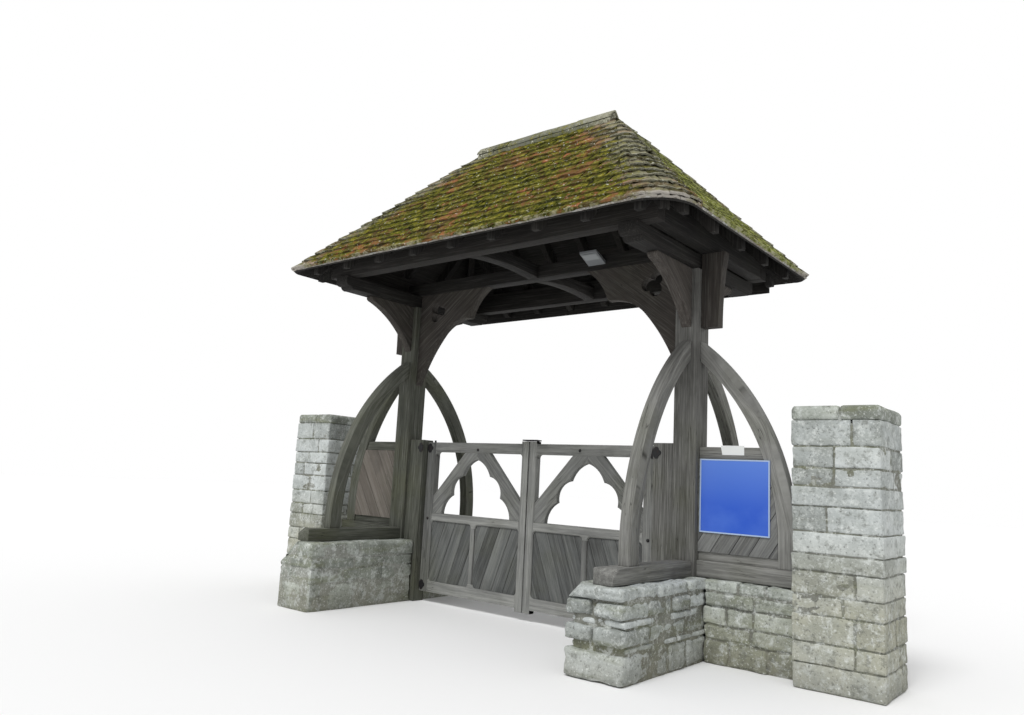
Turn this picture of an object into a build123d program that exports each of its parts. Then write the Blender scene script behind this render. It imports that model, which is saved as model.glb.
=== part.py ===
"""Lychgate: oak frame on dwarf stone walls, hipped tiled roof, a pair of swinging gates.

Millimetres. X runs along the boundary wall, +Y into the churchyard, +Z up. The origin lies midway
between the posts, in the plane of the gateway, on the lowest ground that the walls reach.
"""

import os
from math import cos, radians, sin, sqrt, tan

from build123d import *

# Masonry
wall_top = 540.0
dwarf_wall_inner_x = 1235.0
dwarf_wall_outer_x = 1670.0
dwarf_wall_half_length = 1200.0
dwarf_wall_end_radius = 30.0
left_worn_run = 225.0
left_worn_drop = 205.0
left_worn_depth = 280.0
right_worn_run = 145.0
right_worn_drop = 120.0
right_worn_depth = 220.0
wing_wall_thickness = 300.0
brace_to_pier = 56.0
pier_width = 542.0
pier_front_y = -310.0
pier_depth = 540.0
pier_shaft_top = 1597.0
coping_height = 90.0
coping_weathering = 25.0

# Main posts and sills
post_width = 180.0
post_centre_x = 1470.0
post_top = 2741.0
cross_sill_width = 140.0
cross_sill_height = 100.0
cross_sill_end_y = 1120.0
side_sill_thickness = 110.0
side_sill_height = 110.0

# Lower curved braces
brace_width = 85.0
brace_depth = 115.0
brace_top = 2200.0
front_brace_reach = 885.0
front_brace_spring = 700.0
back_brace_reach = 940.0
back_brace_spring = 800.0
side_brace_reach = 770.0
side_brace_spring = 800.0

# Side panels between post, side brace and pier
panel_rail_height = 60.0
panel_top_rail_height = 85.0
panel_top = 1435.0
panel_frame_thickness = 60.0
panel_board_thickness = 22.0
panel_joint = 0.3

# Beams
cross_beam_width = 150.0
cross_beam_height = 114.0
cross_beam_overhang = 30.0
nose_rise = 56.0
nose_length = 110.0
nose_roll = 13.0
plate_width = 110.0
plate_half_span_y = 926.0
plate_half_span_x = 1669.0
lintel_width = 120.0
lintel_height = 115.0
middle_beam_width = 110.0
middle_beam_camber = 24.0

# Upper brackets
bracket_width = 80.0
cross_bracket_foot_z = 2300.0
cross_bracket_reach = 620.0
cross_bracket_hollow = 60.0
cross_bracket_toe_height = 40.0
cross_bracket_toe_slant = 14.0
cross_bracket_toe_roll = 9.0
inner_bracket_foot_z = 1975.0
inner_bracket_heel = (305.0, 495.0)
inner_bracket_cusp = (630.0, 611.0)
inner_bracket_reach = 845.0
inner_bracket_hollow = 28.0
inner_bracket_heel_foil = 36.0
inner_bracket_toe_foil = 34.0
outer_bracket_foot_z = 2298.0
outer_bracket_foot_reach = 135.0
outer_bracket_head_reach = 180.0
outer_bracket_hollow = 12.0
trefoil_eye_centre = (222.0, 700.0)
trefoil_lobe_radius = 52.0
trefoil_lobe_offset = 48.0
trefoil_turn = -117.0

# Roof
eaves_reach = 294.0
eaves_z = 2885.0
roof_pitch = 46.5
rafter_width = 60.0
rafter_depth = 90.0
rafters_each_side = 4
end_rafters_each_side = 2
birdsmouth = 25.0
hip_rafter_width = 60.0
hip_rafter_drop = 165.0
ridge_board_width = 40.0
ridge_board_height = 190.0
tile_layer = 60.0
eaves_overhang = 55.0
eaves_board_thickness = 22.0
eaves_board_joint = 0.3
ridge_tile_radius = 115.0
ridge_tile_rise = 40.0
hip_corner_radius = 90.0
swept_corner_radius = 300.0
swept_corner_joint = 1.0

# Gates
hanging_post_inner_x = 1204.0
hanging_post_front_y = -60.0
hanging_post_depth = 130.0
hanging_post_top = 1457.0
gate_bottom = 94.0
gate_top = 1438.0
gate_front_y = 0.0
gate_thickness = 60.0
gate_hinge_clearance = 10.0
gate_meeting_gap = 12.0
gate_rail_height = 88.0
gate_middle_rail_top = 794.0
gate_middle_rail_height = 72.0
gate_bottom_rail_height = 95.0
hinge_stile_width = 100.0
meeting_stile_width = 72.0
meeting_stile_rise = 20.0
meeting_stile_drop = 30.0
muntin_width = 55.0
gate_board_thickness = 22.0
gate_board_setback = 14.0
bracing_thickness = 44.0
bracing_head = 145.0
bracing_heel_z = 950.0
bracing_apex_z = 1290.0
bracing_upper_cusp = (160.0, 1145.0)
bracing_lower_cusp = (285.0, 966.0)
bracing_foot = 400.0
gate_corner_radius = 28.0
gate_arris_chamfer = 8.0
bracing_apex_sagitta = 28.0
bracing_lobe_sagitta = 50.0
bracing_foot_sagitta = 30.0

# Gate ironwork
hinge_axis_inset = 22.0
hinge_axis_setback = 18.0
pin_radius = 9.0
pin_height = 75.0
knuckle_height = 40.0
knuckle_wall = 6.0
knuckle_clearance = 0.3
strap_length = 420.0
strap_height = 36.0
strap_thickness = 7.0
hinge_height_low = 150.0
hinge_height_high = 1385.0
knuckle_lift = 1.0
hook_height = 22.0
hook_plate_height = 110.0
hook_plate_width = 28.0
hook_plate_thickness = 8.0
clasp_depth = 46.0
clasp_height = 48.0
clasp_lobe_radius = 19.0
clasp_thickness = 6.0
latch_length = 150.0
latch_depth = 70.0
latch_bar = 10.0
latch_clearance = 5.0
latch_seat = 16.0

# Fittings
sign_width = 500.0
sign_height = 507.0
sign_thickness = 8.0
sign_left_offset = 105.0
sign_bottom = 843.0
lamp_centre_x = 652.0
lamp_width = 160.0
lamp_reach = 140.0
lamp_lift = 34.0
lamp_face_rise = 68.0
lamp_lip = 16.0
lamp_back_height = 30.0

post_half = post_width / 2
pier_inner_x = post_centre_x + side_brace_reach + brace_to_pier
beam_level = post_top + cross_beam_height
lintel_top = beam_level + lintel_height
cross_beam_half_length = plate_half_span_y + cross_beam_overhang
eaves_half_x = plate_half_span_x + eaves_reach
eaves_half_y = plate_half_span_y + eaves_reach
roof_slope = tan(radians(roof_pitch))
ridge_half_length = eaves_half_x - eaves_half_y
sides = ((-1, "left"), (1, "right"))
ends = ((-1, "front"), (1, "back"))

os.makedirs("parts", exist_ok=True)


def save(builder, node):
    builder.part.label = node
    export_step(builder.part, f"parts/{node}.step")


def block(x_low, x_high, y_low, y_high, z_low, z_high):
    """One squared timber or stone between two corners, given in any order."""
    centre = ((x_low + x_high) / 2, (y_low + y_high) / 2, (z_low + z_high) / 2)
    with Locations(centre):
        Box(abs(x_high - x_low), abs(y_high - y_low), abs(z_high - z_low))


def outward_plane(side):
    """Vertical plane through a post: local x runs outward along X, local y is height."""
    return Plane(origin=(side * post_centre_x, 0, 0), x_dir=(side, 0, 0), z_dir=(0, -side, 0))


def inward_plane(side):
    """The same plane with local x running from the post towards the middle of the gateway."""
    return Plane(origin=(side * post_centre_x, 0, 0), x_dir=(-side, 0, 0), z_dir=(0, side, 0))


def crosswise_plane(side, end):
    """Vertical plane through a post: local x runs to the front or the back, local y is height."""
    return Plane(origin=(side * post_centre_x, 0, 0), x_dir=(0, end, 0), z_dir=(end, 0, 0))


# Masonry
worn_corners = (
    (left_worn_run, left_worn_drop, left_worn_depth),
    (right_worn_run, right_worn_drop, right_worn_depth),
)
for (side, hand), (worn_run, worn_drop, worn_depth) in zip(sides, worn_corners):
    with BuildPart() as dwarf_wall:
        block(
            side * dwarf_wall_inner_x,
            side * dwarf_wall_outer_x,
            -dwarf_wall_half_length,
            dwarf_wall_half_length,
            0,
            wall_top,
        )
        fillet(dwarf_wall.edges().filter_by(Axis.Z), radius=dwarf_wall_end_radius)
        with BuildSketch():
            with Locations(
                (
                    side * (dwarf_wall_inner_x + post_centre_x - post_half) / 2,
                    hanging_post_front_y + hanging_post_depth / 2,
                )
            ):
                Rectangle(post_centre_x - post_half - dwarf_wall_inner_x, hanging_post_depth)
        extrude(amount=wall_top, mode=Mode.SUBTRACT)
        worn_x = min(side * dwarf_wall_inner_x, side * dwarf_wall_outer_x)
        worn_slope = Vector(-1 / worn_run, -1 / worn_depth, 1 / worn_drop)
        worn_origin = (worn_x, -dwarf_wall_half_length, wall_top - worn_drop)
        split(bisect_by=Plane(origin=worn_origin, z_dir=worn_slope), keep=Keep.BOTTOM)
    save(dwarf_wall, f"{hand}_dwarf_wall")

    with BuildPart() as wing_wall:
        block(
            side * dwarf_wall_outer_x,
            side * pier_inner_x,
            -wing_wall_thickness / 2,
            wing_wall_thickness / 2,
            0,
            wall_top,
        )
    save(wing_wall, f"{hand}_wing_wall")

    with BuildPart() as pier:
        block(
            side * pier_inner_x,
            side * (pier_inner_x + pier_width),
            pier_front_y,
            pier_front_y + pier_depth,
            0,
            pier_shaft_top,
        )
    save(pier, f"{hand}_pier")

    with BuildPart() as coping:
        block(
            side * pier_inner_x,
            side * (pier_inner_x + pier_width),
            pier_front_y,
            pier_front_y + pier_depth,
            pier_shaft_top,
            pier_shaft_top + coping_height,
        )
        chamfer(coping.faces().sort_by(Axis.Z)[-1].edges(), length=coping_weathering)
    save(coping, f"{hand}_pier_coping")

# Posts and sills
for side, hand in sides:
    with BuildPart() as post:
        with BuildSketch(Plane.XY.offset(wall_top)):
            with Locations((side * post_centre_x, 0)):
                Rectangle(post_width, post_width)
        extrude(amount=post_top - wall_top)
    save(post, f"{hand}_post")

    with BuildPart() as hanging_post:
        block(
            side * hanging_post_inner_x,
            side * (post_centre_x - post_half),
            hanging_post_front_y,
            hanging_post_front_y + hanging_post_depth,
            0,
            hanging_post_top,
        )
    save(hanging_post, f"{hand}_hanging_post")

    with BuildPart() as cross_sill:
        for end, _ in ends:
            block(
                side * (post_centre_x - cross_sill_width / 2),
                side * (post_centre_x + cross_sill_width / 2),
                end * post_half,
                end * cross_sill_end_y,
                wall_top,
                wall_top + cross_sill_height,
            )
    save(cross_sill, f"{hand}_cross_sill")

    with BuildPart() as side_sill:
        block(
            side * (post_centre_x + post_half),
            side * pier_inner_x,
            -side_sill_thickness / 2,
            side_sill_thickness / 2,
            wall_top,
            wall_top + side_sill_height,
        )
    save(side_sill, f"{hand}_side_sill")


def brace_edge(reach, spring, inset):
    """Foot, middle and head of a brace's curved edge, set in from its outer edge."""
    rise = brace_top - spring
    run = reach - post_half
    outer_radius = (run**2 + rise**2) / (2 * run)
    centre_x = reach - outer_radius
    radius = outer_radius - inset
    middle_rise = rise / 2
    foot = (reach - inset, spring)
    middle = (centre_x + sqrt(radius**2 - middle_rise**2), spring + middle_rise)
    head = (post_half, spring + sqrt(radius**2 - (post_half - centre_x) ** 2))
    return foot, middle, head


def brace_profile(reach, spring, foot_z):
    """Lancet brace: upright at the foot, then one arc that leans in to the post's face."""
    outer_foot, outer_middle, outer_head = brace_edge(reach, spring, 0)
    inner_foot, inner_middle, inner_head = brace_edge(reach, spring, brace_depth)
    with BuildSketch() as outline:
        with BuildLine():
            Polyline(outer_foot, (reach, foot_z), (reach - brace_depth, foot_z), inner_foot)
            ThreePointArc(inner_foot, inner_middle, inner_head)
            Line(inner_head, outer_head)
            ThreePointArc(outer_head, outer_middle, outer_foot)
        make_face()
    return outline.sketch


def bay_profile(foot_z):
    """The bay between the post and the hollow side of the side brace."""
    foot, middle, head = brace_edge(side_brace_reach, side_brace_spring, brace_depth + panel_joint)
    with BuildSketch() as outline:
        with BuildLine():
            ThreePointArc(foot, middle, head)
            Polyline(head, (post_half, foot_z), (foot[0], foot_z), foot)
        make_face()
    return outline.sketch


for side, hand in sides:
    with BuildPart() as cross_braces:
        with BuildSketch(crosswise_plane(side, -1)):
            add(brace_profile(front_brace_reach, front_brace_spring, wall_top + cross_sill_height))
        extrude(amount=brace_width / 2, both=True)
        with BuildSketch(crosswise_plane(side, 1)):
            add(brace_profile(back_brace_reach, back_brace_spring, wall_top + cross_sill_height))
        extrude(amount=brace_width / 2, both=True)
    save(cross_braces, f"{hand}_cross_braces")

    with BuildPart() as side_brace:
        with BuildSketch(outward_plane(side)):
            add(brace_profile(side_brace_reach, side_brace_spring, wall_top + side_sill_height))
        extrude(amount=brace_width / 2, both=True)
    save(side_brace, f"{hand}_side_brace")

# Side panels
panel_floor = wall_top + side_sill_height
panel_rail_top = panel_floor + panel_rail_height
panel_head = panel_top - panel_top_rail_height
panel_span = side_brace_reach - post_half
for side, hand in sides:
    with BuildPart() as panel_rails:
        with BuildSketch(outward_plane(side)):
            with Locations((post_half + panel_span / 2, panel_floor + panel_rail_height / 2)):
                Rectangle(panel_span, panel_rail_height)
            with Locations((post_half + panel_span / 2, panel_top - panel_top_rail_height / 2)):
                Rectangle(panel_span, panel_top_rail_height)
            add(bay_profile(panel_floor), mode=Mode.INTERSECT)
        extrude(amount=panel_frame_thickness / 2, both=True)
    save(panel_rails, f"{hand}_panel_rails")

    with BuildPart() as panel_boards:
        with BuildSketch(outward_plane(side)):
            with Locations((post_half + panel_span / 2, (panel_rail_top + panel_head) / 2)):
                Rectangle(panel_span, panel_head - panel_rail_top)
            add(bay_profile(panel_floor), mode=Mode.INTERSECT)
        extrude(amount=brace_width / 2, both=True)
        with BuildSketch(outward_plane(side).offset(side * (brace_width / 2 - panel_board_thickness))):
            Rectangle(2 * side_brace_reach, 2 * panel_top)
        extrude(amount=-side * brace_width, mode=Mode.SUBTRACT)
    save(panel_boards, f"{hand}_panel_boards")

# Roof planes
pitch = radians(roof_pitch)
eaves_lip = tile_layer * sin(pitch)
soffit_half_x = eaves_half_x - eaves_lip
soffit_half_y = eaves_half_y - eaves_lip
rafter_drop = rafter_depth / cos(pitch)
tile_rise = tile_layer / cos(pitch)
apex_z = eaves_z + soffit_half_y * roof_slope
plate_top = eaves_z + (soffit_half_y - plate_half_span_y) * roof_slope - rafter_drop + birdsmouth
plate_inner_y = plate_half_span_y - plate_width
plate_inner_x = plate_half_span_x - plate_width


def corner_share(side, end):
    """How round one eaves corner is, as a share of the roof's half width."""
    swept = side > 0 and end < 0
    return (swept_corner_radius if swept else hip_corner_radius) / soffit_half_y


def roof_core(drop, overhang=0.0):
    """Everything under the four roof planes, lowered by a plumb drop and run out past the soffit."""
    half_x = soffit_half_x + overhang
    half_y = soffit_half_y + overhang
    edge_z = eaves_z - overhang * roof_slope - drop
    with BuildPart() as core:
        with BuildSketch(Plane.YZ):
            with BuildLine():
                Polyline(
                    (-half_y, 0),
                    (-half_y, edge_z),
                    (0, apex_z - drop),
                    (half_y, edge_z),
                    (half_y, 0),
                    close=True,
                )
            make_face()
        extrude(amount=half_x, both=True)
        with BuildSketch(Plane.XZ):
            with BuildLine():
                Polyline(
                    (-half_x, 0),
                    (-half_x, edge_z),
                    (-ridge_half_length, apex_z - drop),
                    (ridge_half_length, apex_z - drop),
                    (half_x, edge_z),
                    (half_x, 0),
                    close=True,
                )
            make_face()
        extrude(amount=half_y, both=True, mode=Mode.INTERSECT)
    return core.part


def corner_outline(side, end, overhang):
    """Plan of one swept corner: out from the ridge's end, and rounded at the eaves."""
    half_x = soffit_half_x + overhang
    half_y = soffit_half_y + overhang
    radius = corner_share(side, end) * half_y
    outer = radius * (1 - sqrt(0.5))
    ridge_end = (side * ridge_half_length, 0)
    long_side = (side * (half_x - radius), end * half_y)
    middle = (side * (half_x - outer), end * (half_y - outer))
    short_side = (side * half_x, end * (half_y - radius))
    with BuildSketch() as outline:
        with BuildLine():
            Line(ridge_end, long_side)
            ThreePointArc(long_side, middle, short_side)
            Line(short_side, ridge_end)
        make_face()
    return outline.sketch


def corner_core(side, end, drop, overhang=0.0):
    """Everything under one swept corner: a cone sector that rises to the ridge's end."""
    edge_z = eaves_z - overhang * roof_slope - drop
    with BuildPart() as core:
        with BuildSketch(Plane.XY.offset(edge_z)) as rim:
            add(corner_outline(side, end, overhang))
        loft(sections=[rim.sketch.face(), Vertex(side * ridge_half_length, 0, apex_z - drop)])
    return core.part


with BuildPart() as corner_space:
    for side, _ in sides:
        for end, _ in ends:
            corner_radius = corner_share(side, end) * soffit_half_y
            with BuildSketch(Plane.XY.offset(beam_level)):
                with BuildLine():
                    Polyline(
                        (side * ridge_half_length, 0),
                        (side * (soffit_half_x - corner_radius), end * soffit_half_y),
                        (side * soffit_half_x, end * soffit_half_y),
                        (side * soffit_half_x, end * (soffit_half_y - corner_radius)),
                        close=True,
                    )
                make_face()
            extrude(amount=apex_z - beam_level)
    for side, _ in sides:
        for end, _ in ends:
            add(corner_core(side, end, 0), mode=Mode.SUBTRACT)
            with BuildSketch(Plane.XY.offset(beam_level)):
                add(corner_outline(side, end, 0))
            extrude(amount=eaves_z - beam_level, mode=Mode.SUBTRACT)
over_corners = corner_space.part

under_tiles = roof_core(0)
under_hips = roof_core(hip_rafter_drop)

with BuildPart() as plate_space:
    with BuildSketch(Plane.XY.offset(beam_level)):
        Rectangle(2 * plate_half_span_x, 2 * plate_half_span_y)
        Rectangle(2 * plate_inner_x, 2 * plate_inner_y, mode=Mode.SUBTRACT)
    extrude(amount=plate_top - beam_level)
plate_ring = plate_space.part

# Beams
for side, hand in sides:
    with BuildPart() as cross_beam:
        with BuildSketch(crosswise_plane(side, 1)):
            with BuildLine():
                back_soffit = (cross_beam_half_length - nose_length, post_top)
                back_quirk = (cross_beam_half_length - nose_length / 2, post_top + nose_rise / 2)
                back_nose = (cross_beam_half_length, post_top + nose_rise)
                front_nose = (-cross_beam_half_length, post_top + nose_rise)
                front_quirk = (nose_length / 2 - cross_beam_half_length, post_top + nose_rise / 2)
                front_soffit = (nose_length - cross_beam_half_length, post_top)
                Line(front_soffit, back_soffit)
                SagittaArc(back_soffit, back_quirk, -nose_roll)
                SagittaArc(back_quirk, back_nose, -nose_roll)
                Polyline(
                    back_nose,
                    (cross_beam_half_length, beam_level),
                    (-cross_beam_half_length, beam_level),
                    front_nose,
                )
                SagittaArc(front_nose, front_quirk, -nose_roll)
                SagittaArc(front_quirk, front_soffit, -nose_roll)
            make_face()
        extrude(amount=cross_beam_width / 2, both=True)
    save(cross_beam, f"{hand}_cross_beam")

with BuildPart() as lintel:
    block(-plate_inner_x, plate_inner_x, -lintel_width / 2, lintel_width / 2, beam_level, lintel_top)
save(lintel, "lintel")

with BuildPart() as middle_beam:
    for end, _ in ends:
        with BuildSketch(Plane(origin=(0, 0, 0), x_dir=(0, end, 0), z_dir=(end, 0, 0))):
            with BuildLine():
                SagittaArc((lintel_width / 2, beam_level), (plate_inner_y, beam_level), middle_beam_camber)
                Polyline(
                    (plate_inner_y, beam_level),
                    (plate_inner_y, lintel_top),
                    (lintel_width / 2, lintel_top),
                    (lintel_width / 2, beam_level),
                )
            make_face()
        extrude(amount=middle_beam_width / 2, both=True)
save(middle_beam, "middle_cross_beam")

for end, facing in ends:
    with BuildPart() as long_plate:
        block(
            -plate_half_span_x,
            plate_half_span_x,
            end * plate_inner_y,
            end * plate_half_span_y,
            beam_level,
            plate_top,
        )
    save(long_plate, f"{facing}_wall_plate")

for side, hand in sides:
    with BuildPart() as end_plate:
        block(
            side * plate_inner_x,
            side * plate_half_span_x,
            -plate_inner_y,
            plate_inner_y,
            beam_level,
            plate_top,
        )
    save(end_plate, f"{hand}_wall_plate")

# Upper brackets
for side, hand in sides:
    with BuildPart() as cross_brackets:
        for end, _ in ends:
            with BuildSketch(crosswise_plane(side, end)):
                heel = (post_half, cross_bracket_foot_z)
                toe = (cross_bracket_reach, post_top)
                toe_foot_reach = cross_bracket_reach - cross_bracket_toe_slant
                toe_foot = (toe_foot_reach, post_top - cross_bracket_toe_height)
                with BuildLine():
                    SagittaArc(heel, toe_foot, cross_bracket_hollow)
                    SagittaArc(toe_foot, toe, -cross_bracket_toe_roll)
                    Polyline(toe, (post_half, post_top), heel)
                make_face()
            extrude(amount=bracket_width / 2, both=True)
    save(cross_brackets, f"{hand}_cross_brackets")

    with BuildPart() as inner_bracket:
        with BuildSketch(inward_plane(side)):
            foot = (post_half, inner_bracket_foot_z)
            heel = (post_half + inner_bracket_heel[0], inner_bracket_foot_z + inner_bracket_heel[1])
            cusp = (post_half + inner_bracket_cusp[0], inner_bracket_foot_z + inner_bracket_cusp[1])
            toe = (post_half + inner_bracket_reach, beam_level)
            with BuildLine():
                SagittaArc(foot, heel, inner_bracket_hollow)
                SagittaArc(heel, cusp, inner_bracket_heel_foil)
                SagittaArc(cusp, toe, inner_bracket_toe_foil)
                Polyline(toe, (post_half, beam_level), foot)
            make_face()
            eye_x = post_half + trefoil_eye_centre[0]
            eye_z = inner_bracket_foot_z + trefoil_eye_centre[1]
            with Locations((eye_x, eye_z)):
                with PolarLocations(trefoil_lobe_offset, 3, start_angle=trefoil_turn):
                    Circle(trefoil_lobe_radius, mode=Mode.SUBTRACT)
        extrude(amount=bracket_width / 2, both=True)
    save(inner_bracket, f"{hand}_inner_bracket")

    with BuildPart() as outer_bracket:
        with BuildSketch(outward_plane(side)):
            foot = (post_half + outer_bracket_foot_reach, outer_bracket_foot_z)
            toe = (post_half + outer_bracket_head_reach, beam_level)
            with BuildLine():
                SagittaArc(foot, toe, outer_bracket_hollow)
                Polyline(toe, (post_half, beam_level), (post_half, outer_bracket_foot_z), foot)
            make_face()
        extrude(amount=bracket_width / 2, both=True)
    save(outer_bracket, f"{hand}_outer_bracket")

# Roof timbers
ridge_board_end = ridge_half_length + hip_rafter_width
main_rafter_spacing = (plate_half_span_x - rafter_width / 2) / rafters_each_side
end_rafter_spacing = (plate_half_span_y - rafter_width / 2) / end_rafters_each_side
rafter_foot_y = soffit_half_y - eaves_overhang
rafter_foot_x = soffit_half_x - eaves_overhang
hip_inset = hip_rafter_width / 2 * sqrt(2)


def rafter_profile(foot, head, half_span):
    """Rafter seen from its side: plumb foot, plumb head, top edge on the roof plane."""

    def top_at(distance):
        return eaves_z + (half_span - distance) * roof_slope

    with BuildSketch() as outline:
        with BuildLine():
            Polyline(
                (foot, top_at(foot)),
                (head, top_at(head)),
                (head, top_at(head) - rafter_drop),
                (foot, top_at(foot) - rafter_drop),
                close=True,
            )
        make_face()
    return outline.sketch


def rafter_foot_plan():
    """Plan of the rafters' feet, set in from the eaves and rounded with their corners."""
    with BuildSketch() as outline:
        RectangleRounded(2 * rafter_foot_x, 2 * rafter_foot_y, swept_corner_radius - eaves_overhang)
    return outline.sketch


with BuildPart() as ridge_board:
    block(
        -ridge_board_end,
        ridge_board_end,
        -ridge_board_width / 2,
        ridge_board_width / 2,
        apex_z - ridge_board_height,
        apex_z,
    )
    add(under_tiles, mode=Mode.INTERSECT)
    add(over_corners, mode=Mode.SUBTRACT)
save(ridge_board, "ridge_board")

with BuildPart() as hip_rafters:
    with BuildSketch(Plane.XY.offset(beam_level)):
        for side, _ in sides:
            for end, _ in ends:
                hip_head = ridge_half_length + ridge_board_width / 2
                with BuildLine():
                    Polyline(
                        (side * (hip_head - hip_inset), end * ridge_board_width / 2),
                        (side * (hip_head + hip_inset), end * ridge_board_width / 2),
                        (side * rafter_foot_x, end * (rafter_foot_y - hip_inset)),
                        (side * rafter_foot_x, end * rafter_foot_y),
                        (side * (rafter_foot_x - hip_inset), end * rafter_foot_y),
                        close=True,
                    )
                make_face()
        add(rafter_foot_plan(), mode=Mode.INTERSECT)
    extrude(amount=apex_z - beam_level)
    add(under_tiles, mode=Mode.INTERSECT)
    add(over_corners, mode=Mode.SUBTRACT)
    add(under_hips, mode=Mode.SUBTRACT)
    add(plate_ring, mode=Mode.SUBTRACT)
save(hip_rafters, "hip_rafters")


def slope_plan(end_slope, side, ridge_inset, low_inset, high_inset):
    """Plan of one roof slope, drawn in at the ridge and at its two eaves corners."""
    if end_slope:
        corners = (
            (side * (ridge_half_length + ridge_inset), 0),
            (side * eaves_half_x, -(eaves_half_y - low_inset)),
            (side * eaves_half_x, eaves_half_y - high_inset),
        )
    else:
        corners = (
            (-(ridge_half_length - ridge_inset), 0),
            (ridge_half_length - ridge_inset, 0),
            (eaves_half_x - high_inset, side * eaves_half_y),
            (-(eaves_half_x - low_inset), side * eaves_half_y),
        )
    with BuildSketch() as outline:
        with BuildLine():
            Polyline(*corners, close=True)
        make_face()
    return outline.sketch


with BuildPart() as main_rafters:
    for end, _ in ends:
        for step in range(-rafters_each_side, rafters_each_side + 1):
            rafter_x = step * main_rafter_spacing
            with BuildSketch(Plane(origin=(rafter_x, 0, 0), x_dir=(0, end, 0), z_dir=(end, 0, 0))):
                add(rafter_profile(rafter_foot_y, ridge_board_width / 2, soffit_half_y))
            extrude(amount=rafter_width / 2, both=True)
    with BuildSketch(Plane.XY.offset(beam_level)):
        for end, _ in ends:
            add(slope_plan(False, end, hip_inset, hip_inset, hip_inset))
        add(rafter_foot_plan(), mode=Mode.INTERSECT)
    extrude(amount=apex_z - beam_level, mode=Mode.INTERSECT)
    add(over_corners, mode=Mode.SUBTRACT)
    add(plate_ring, mode=Mode.SUBTRACT)
    board_back = rafter_foot_y + eaves_board_joint
    board_face = board_back + eaves_board_thickness
    board_foot = eaves_z + eaves_overhang * roof_slope - rafter_drop
    with BuildSketch(Plane.YZ):
        with BuildLine():
            Polyline(
                (board_back, board_foot),
                (board_back, eaves_z + (soffit_half_y - board_back) * roof_slope),
                (board_face, eaves_z + (soffit_half_y - board_face) * roof_slope),
                (board_face, board_foot),
                close=True,
            )
        make_face()
    extrude(amount=soffit_half_x - swept_corner_radius, both=True)
save(main_rafters, "main_rafters")

with BuildPart() as end_rafters:
    for side, _ in sides:
        for step in range(-end_rafters_each_side, end_rafters_each_side + 1):
            rafter_y = step * end_rafter_spacing
            with BuildSketch(Plane(origin=(0, rafter_y, 0), x_dir=(side, 0, 0), z_dir=(0, -side, 0))):
                add(rafter_profile(rafter_foot_x, ridge_board_end, soffit_half_x))
            extrude(amount=rafter_width / 2, both=True)
    with BuildSketch(Plane.XY.offset(beam_level)):
        for side, _ in sides:
            add(slope_plan(True, side, hip_inset, hip_inset, hip_inset))
        add(rafter_foot_plan(), mode=Mode.INTERSECT)
    extrude(amount=apex_z - beam_level, mode=Mode.INTERSECT)
    add(over_corners, mode=Mode.SUBTRACT)
    add(plate_ring, mode=Mode.SUBTRACT)
save(end_rafters, "end_rafters")


def tile_profile(half_span, ridge):
    """Tile layer seen along the eaves: square-cut at the eaves, plumb at the ridge."""
    with BuildSketch() as outline:
        with BuildLine():
            Polyline(
                (half_span, eaves_z),
                (half_span + eaves_lip, eaves_z + tile_layer * cos(pitch)),
                (ridge, eaves_z + (half_span - ridge) * roof_slope + tile_rise),
                (ridge, eaves_z + (half_span - ridge) * roof_slope),
                close=True,
            )
        make_face()
    return outline.sketch


for end, facing in ends:
    corner_insets = [corner_share(side, end) * eaves_half_y for side, _ in sides]
    with BuildPart() as slope:
        with BuildSketch(Plane(origin=(0, 0, 0), x_dir=(0, end, 0), z_dir=(end, 0, 0))):
            add(tile_profile(soffit_half_y, 0))
        extrude(amount=eaves_half_x, both=True)
        with BuildSketch(Plane.XY.offset(beam_level)):
            add(slope_plan(False, end, 0, *corner_insets))
        extrude(amount=apex_z + tile_rise - beam_level, mode=Mode.INTERSECT)
    save(slope, f"{facing}_roof_slope")

for side, hand in sides:
    corner_insets = [corner_share(side, end) * eaves_half_y for end, _ in ends]
    with BuildPart() as slope:
        with BuildSketch(Plane(origin=(0, 0, 0), x_dir=(side, 0, 0), z_dir=(0, -side, 0))):
            add(tile_profile(soffit_half_x, ridge_half_length))
        extrude(amount=eaves_half_y, both=True)
        with BuildSketch(Plane.XY.offset(beam_level)):
            add(slope_plan(True, side, 0, *corner_insets))
        extrude(amount=apex_z + tile_rise - beam_level, mode=Mode.INTERSECT)
    save(slope, f"{hand}_roof_slope")

# Ridge tiles, and the tile courses that sweep round the hips
over_tiles = roof_core(-tile_rise, eaves_lip)
ridge_crown = apex_z + tile_rise + ridge_tile_rise
with BuildPart() as ridge_tiles:
    with BuildSketch(Plane.YZ):
        with Locations((0, ridge_crown - ridge_tile_radius)):
            Circle(ridge_tile_radius)
    extrude(amount=ridge_half_length, both=True)
    add(over_tiles, mode=Mode.SUBTRACT)
save(ridge_tiles, "ridge_tiles")

with BuildPart() as hip_tiles:
    for side, _ in sides:
        for end, _ in ends:
            with BuildSketch(Plane.XY.offset(eaves_z)):
                add(corner_outline(side, end, 0))
            with BuildSketch(Plane.XY.offset(eaves_z + tile_layer * cos(pitch))):
                add(corner_outline(side, end, eaves_lip))
            loft(ruled=True)
            add(corner_core(side, end, -tile_rise, eaves_lip))
    for side, _ in sides:
        for end, _ in ends:
            add(corner_core(side, end, 0), mode=Mode.SUBTRACT)
    with BuildSketch(Plane.XY.offset(beam_level)):
        Rectangle(2 * eaves_half_x, 2 * swept_corner_joint)
    extrude(amount=ridge_crown - beam_level, mode=Mode.SUBTRACT)
save(hip_tiles, "hip_tiles")

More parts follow.
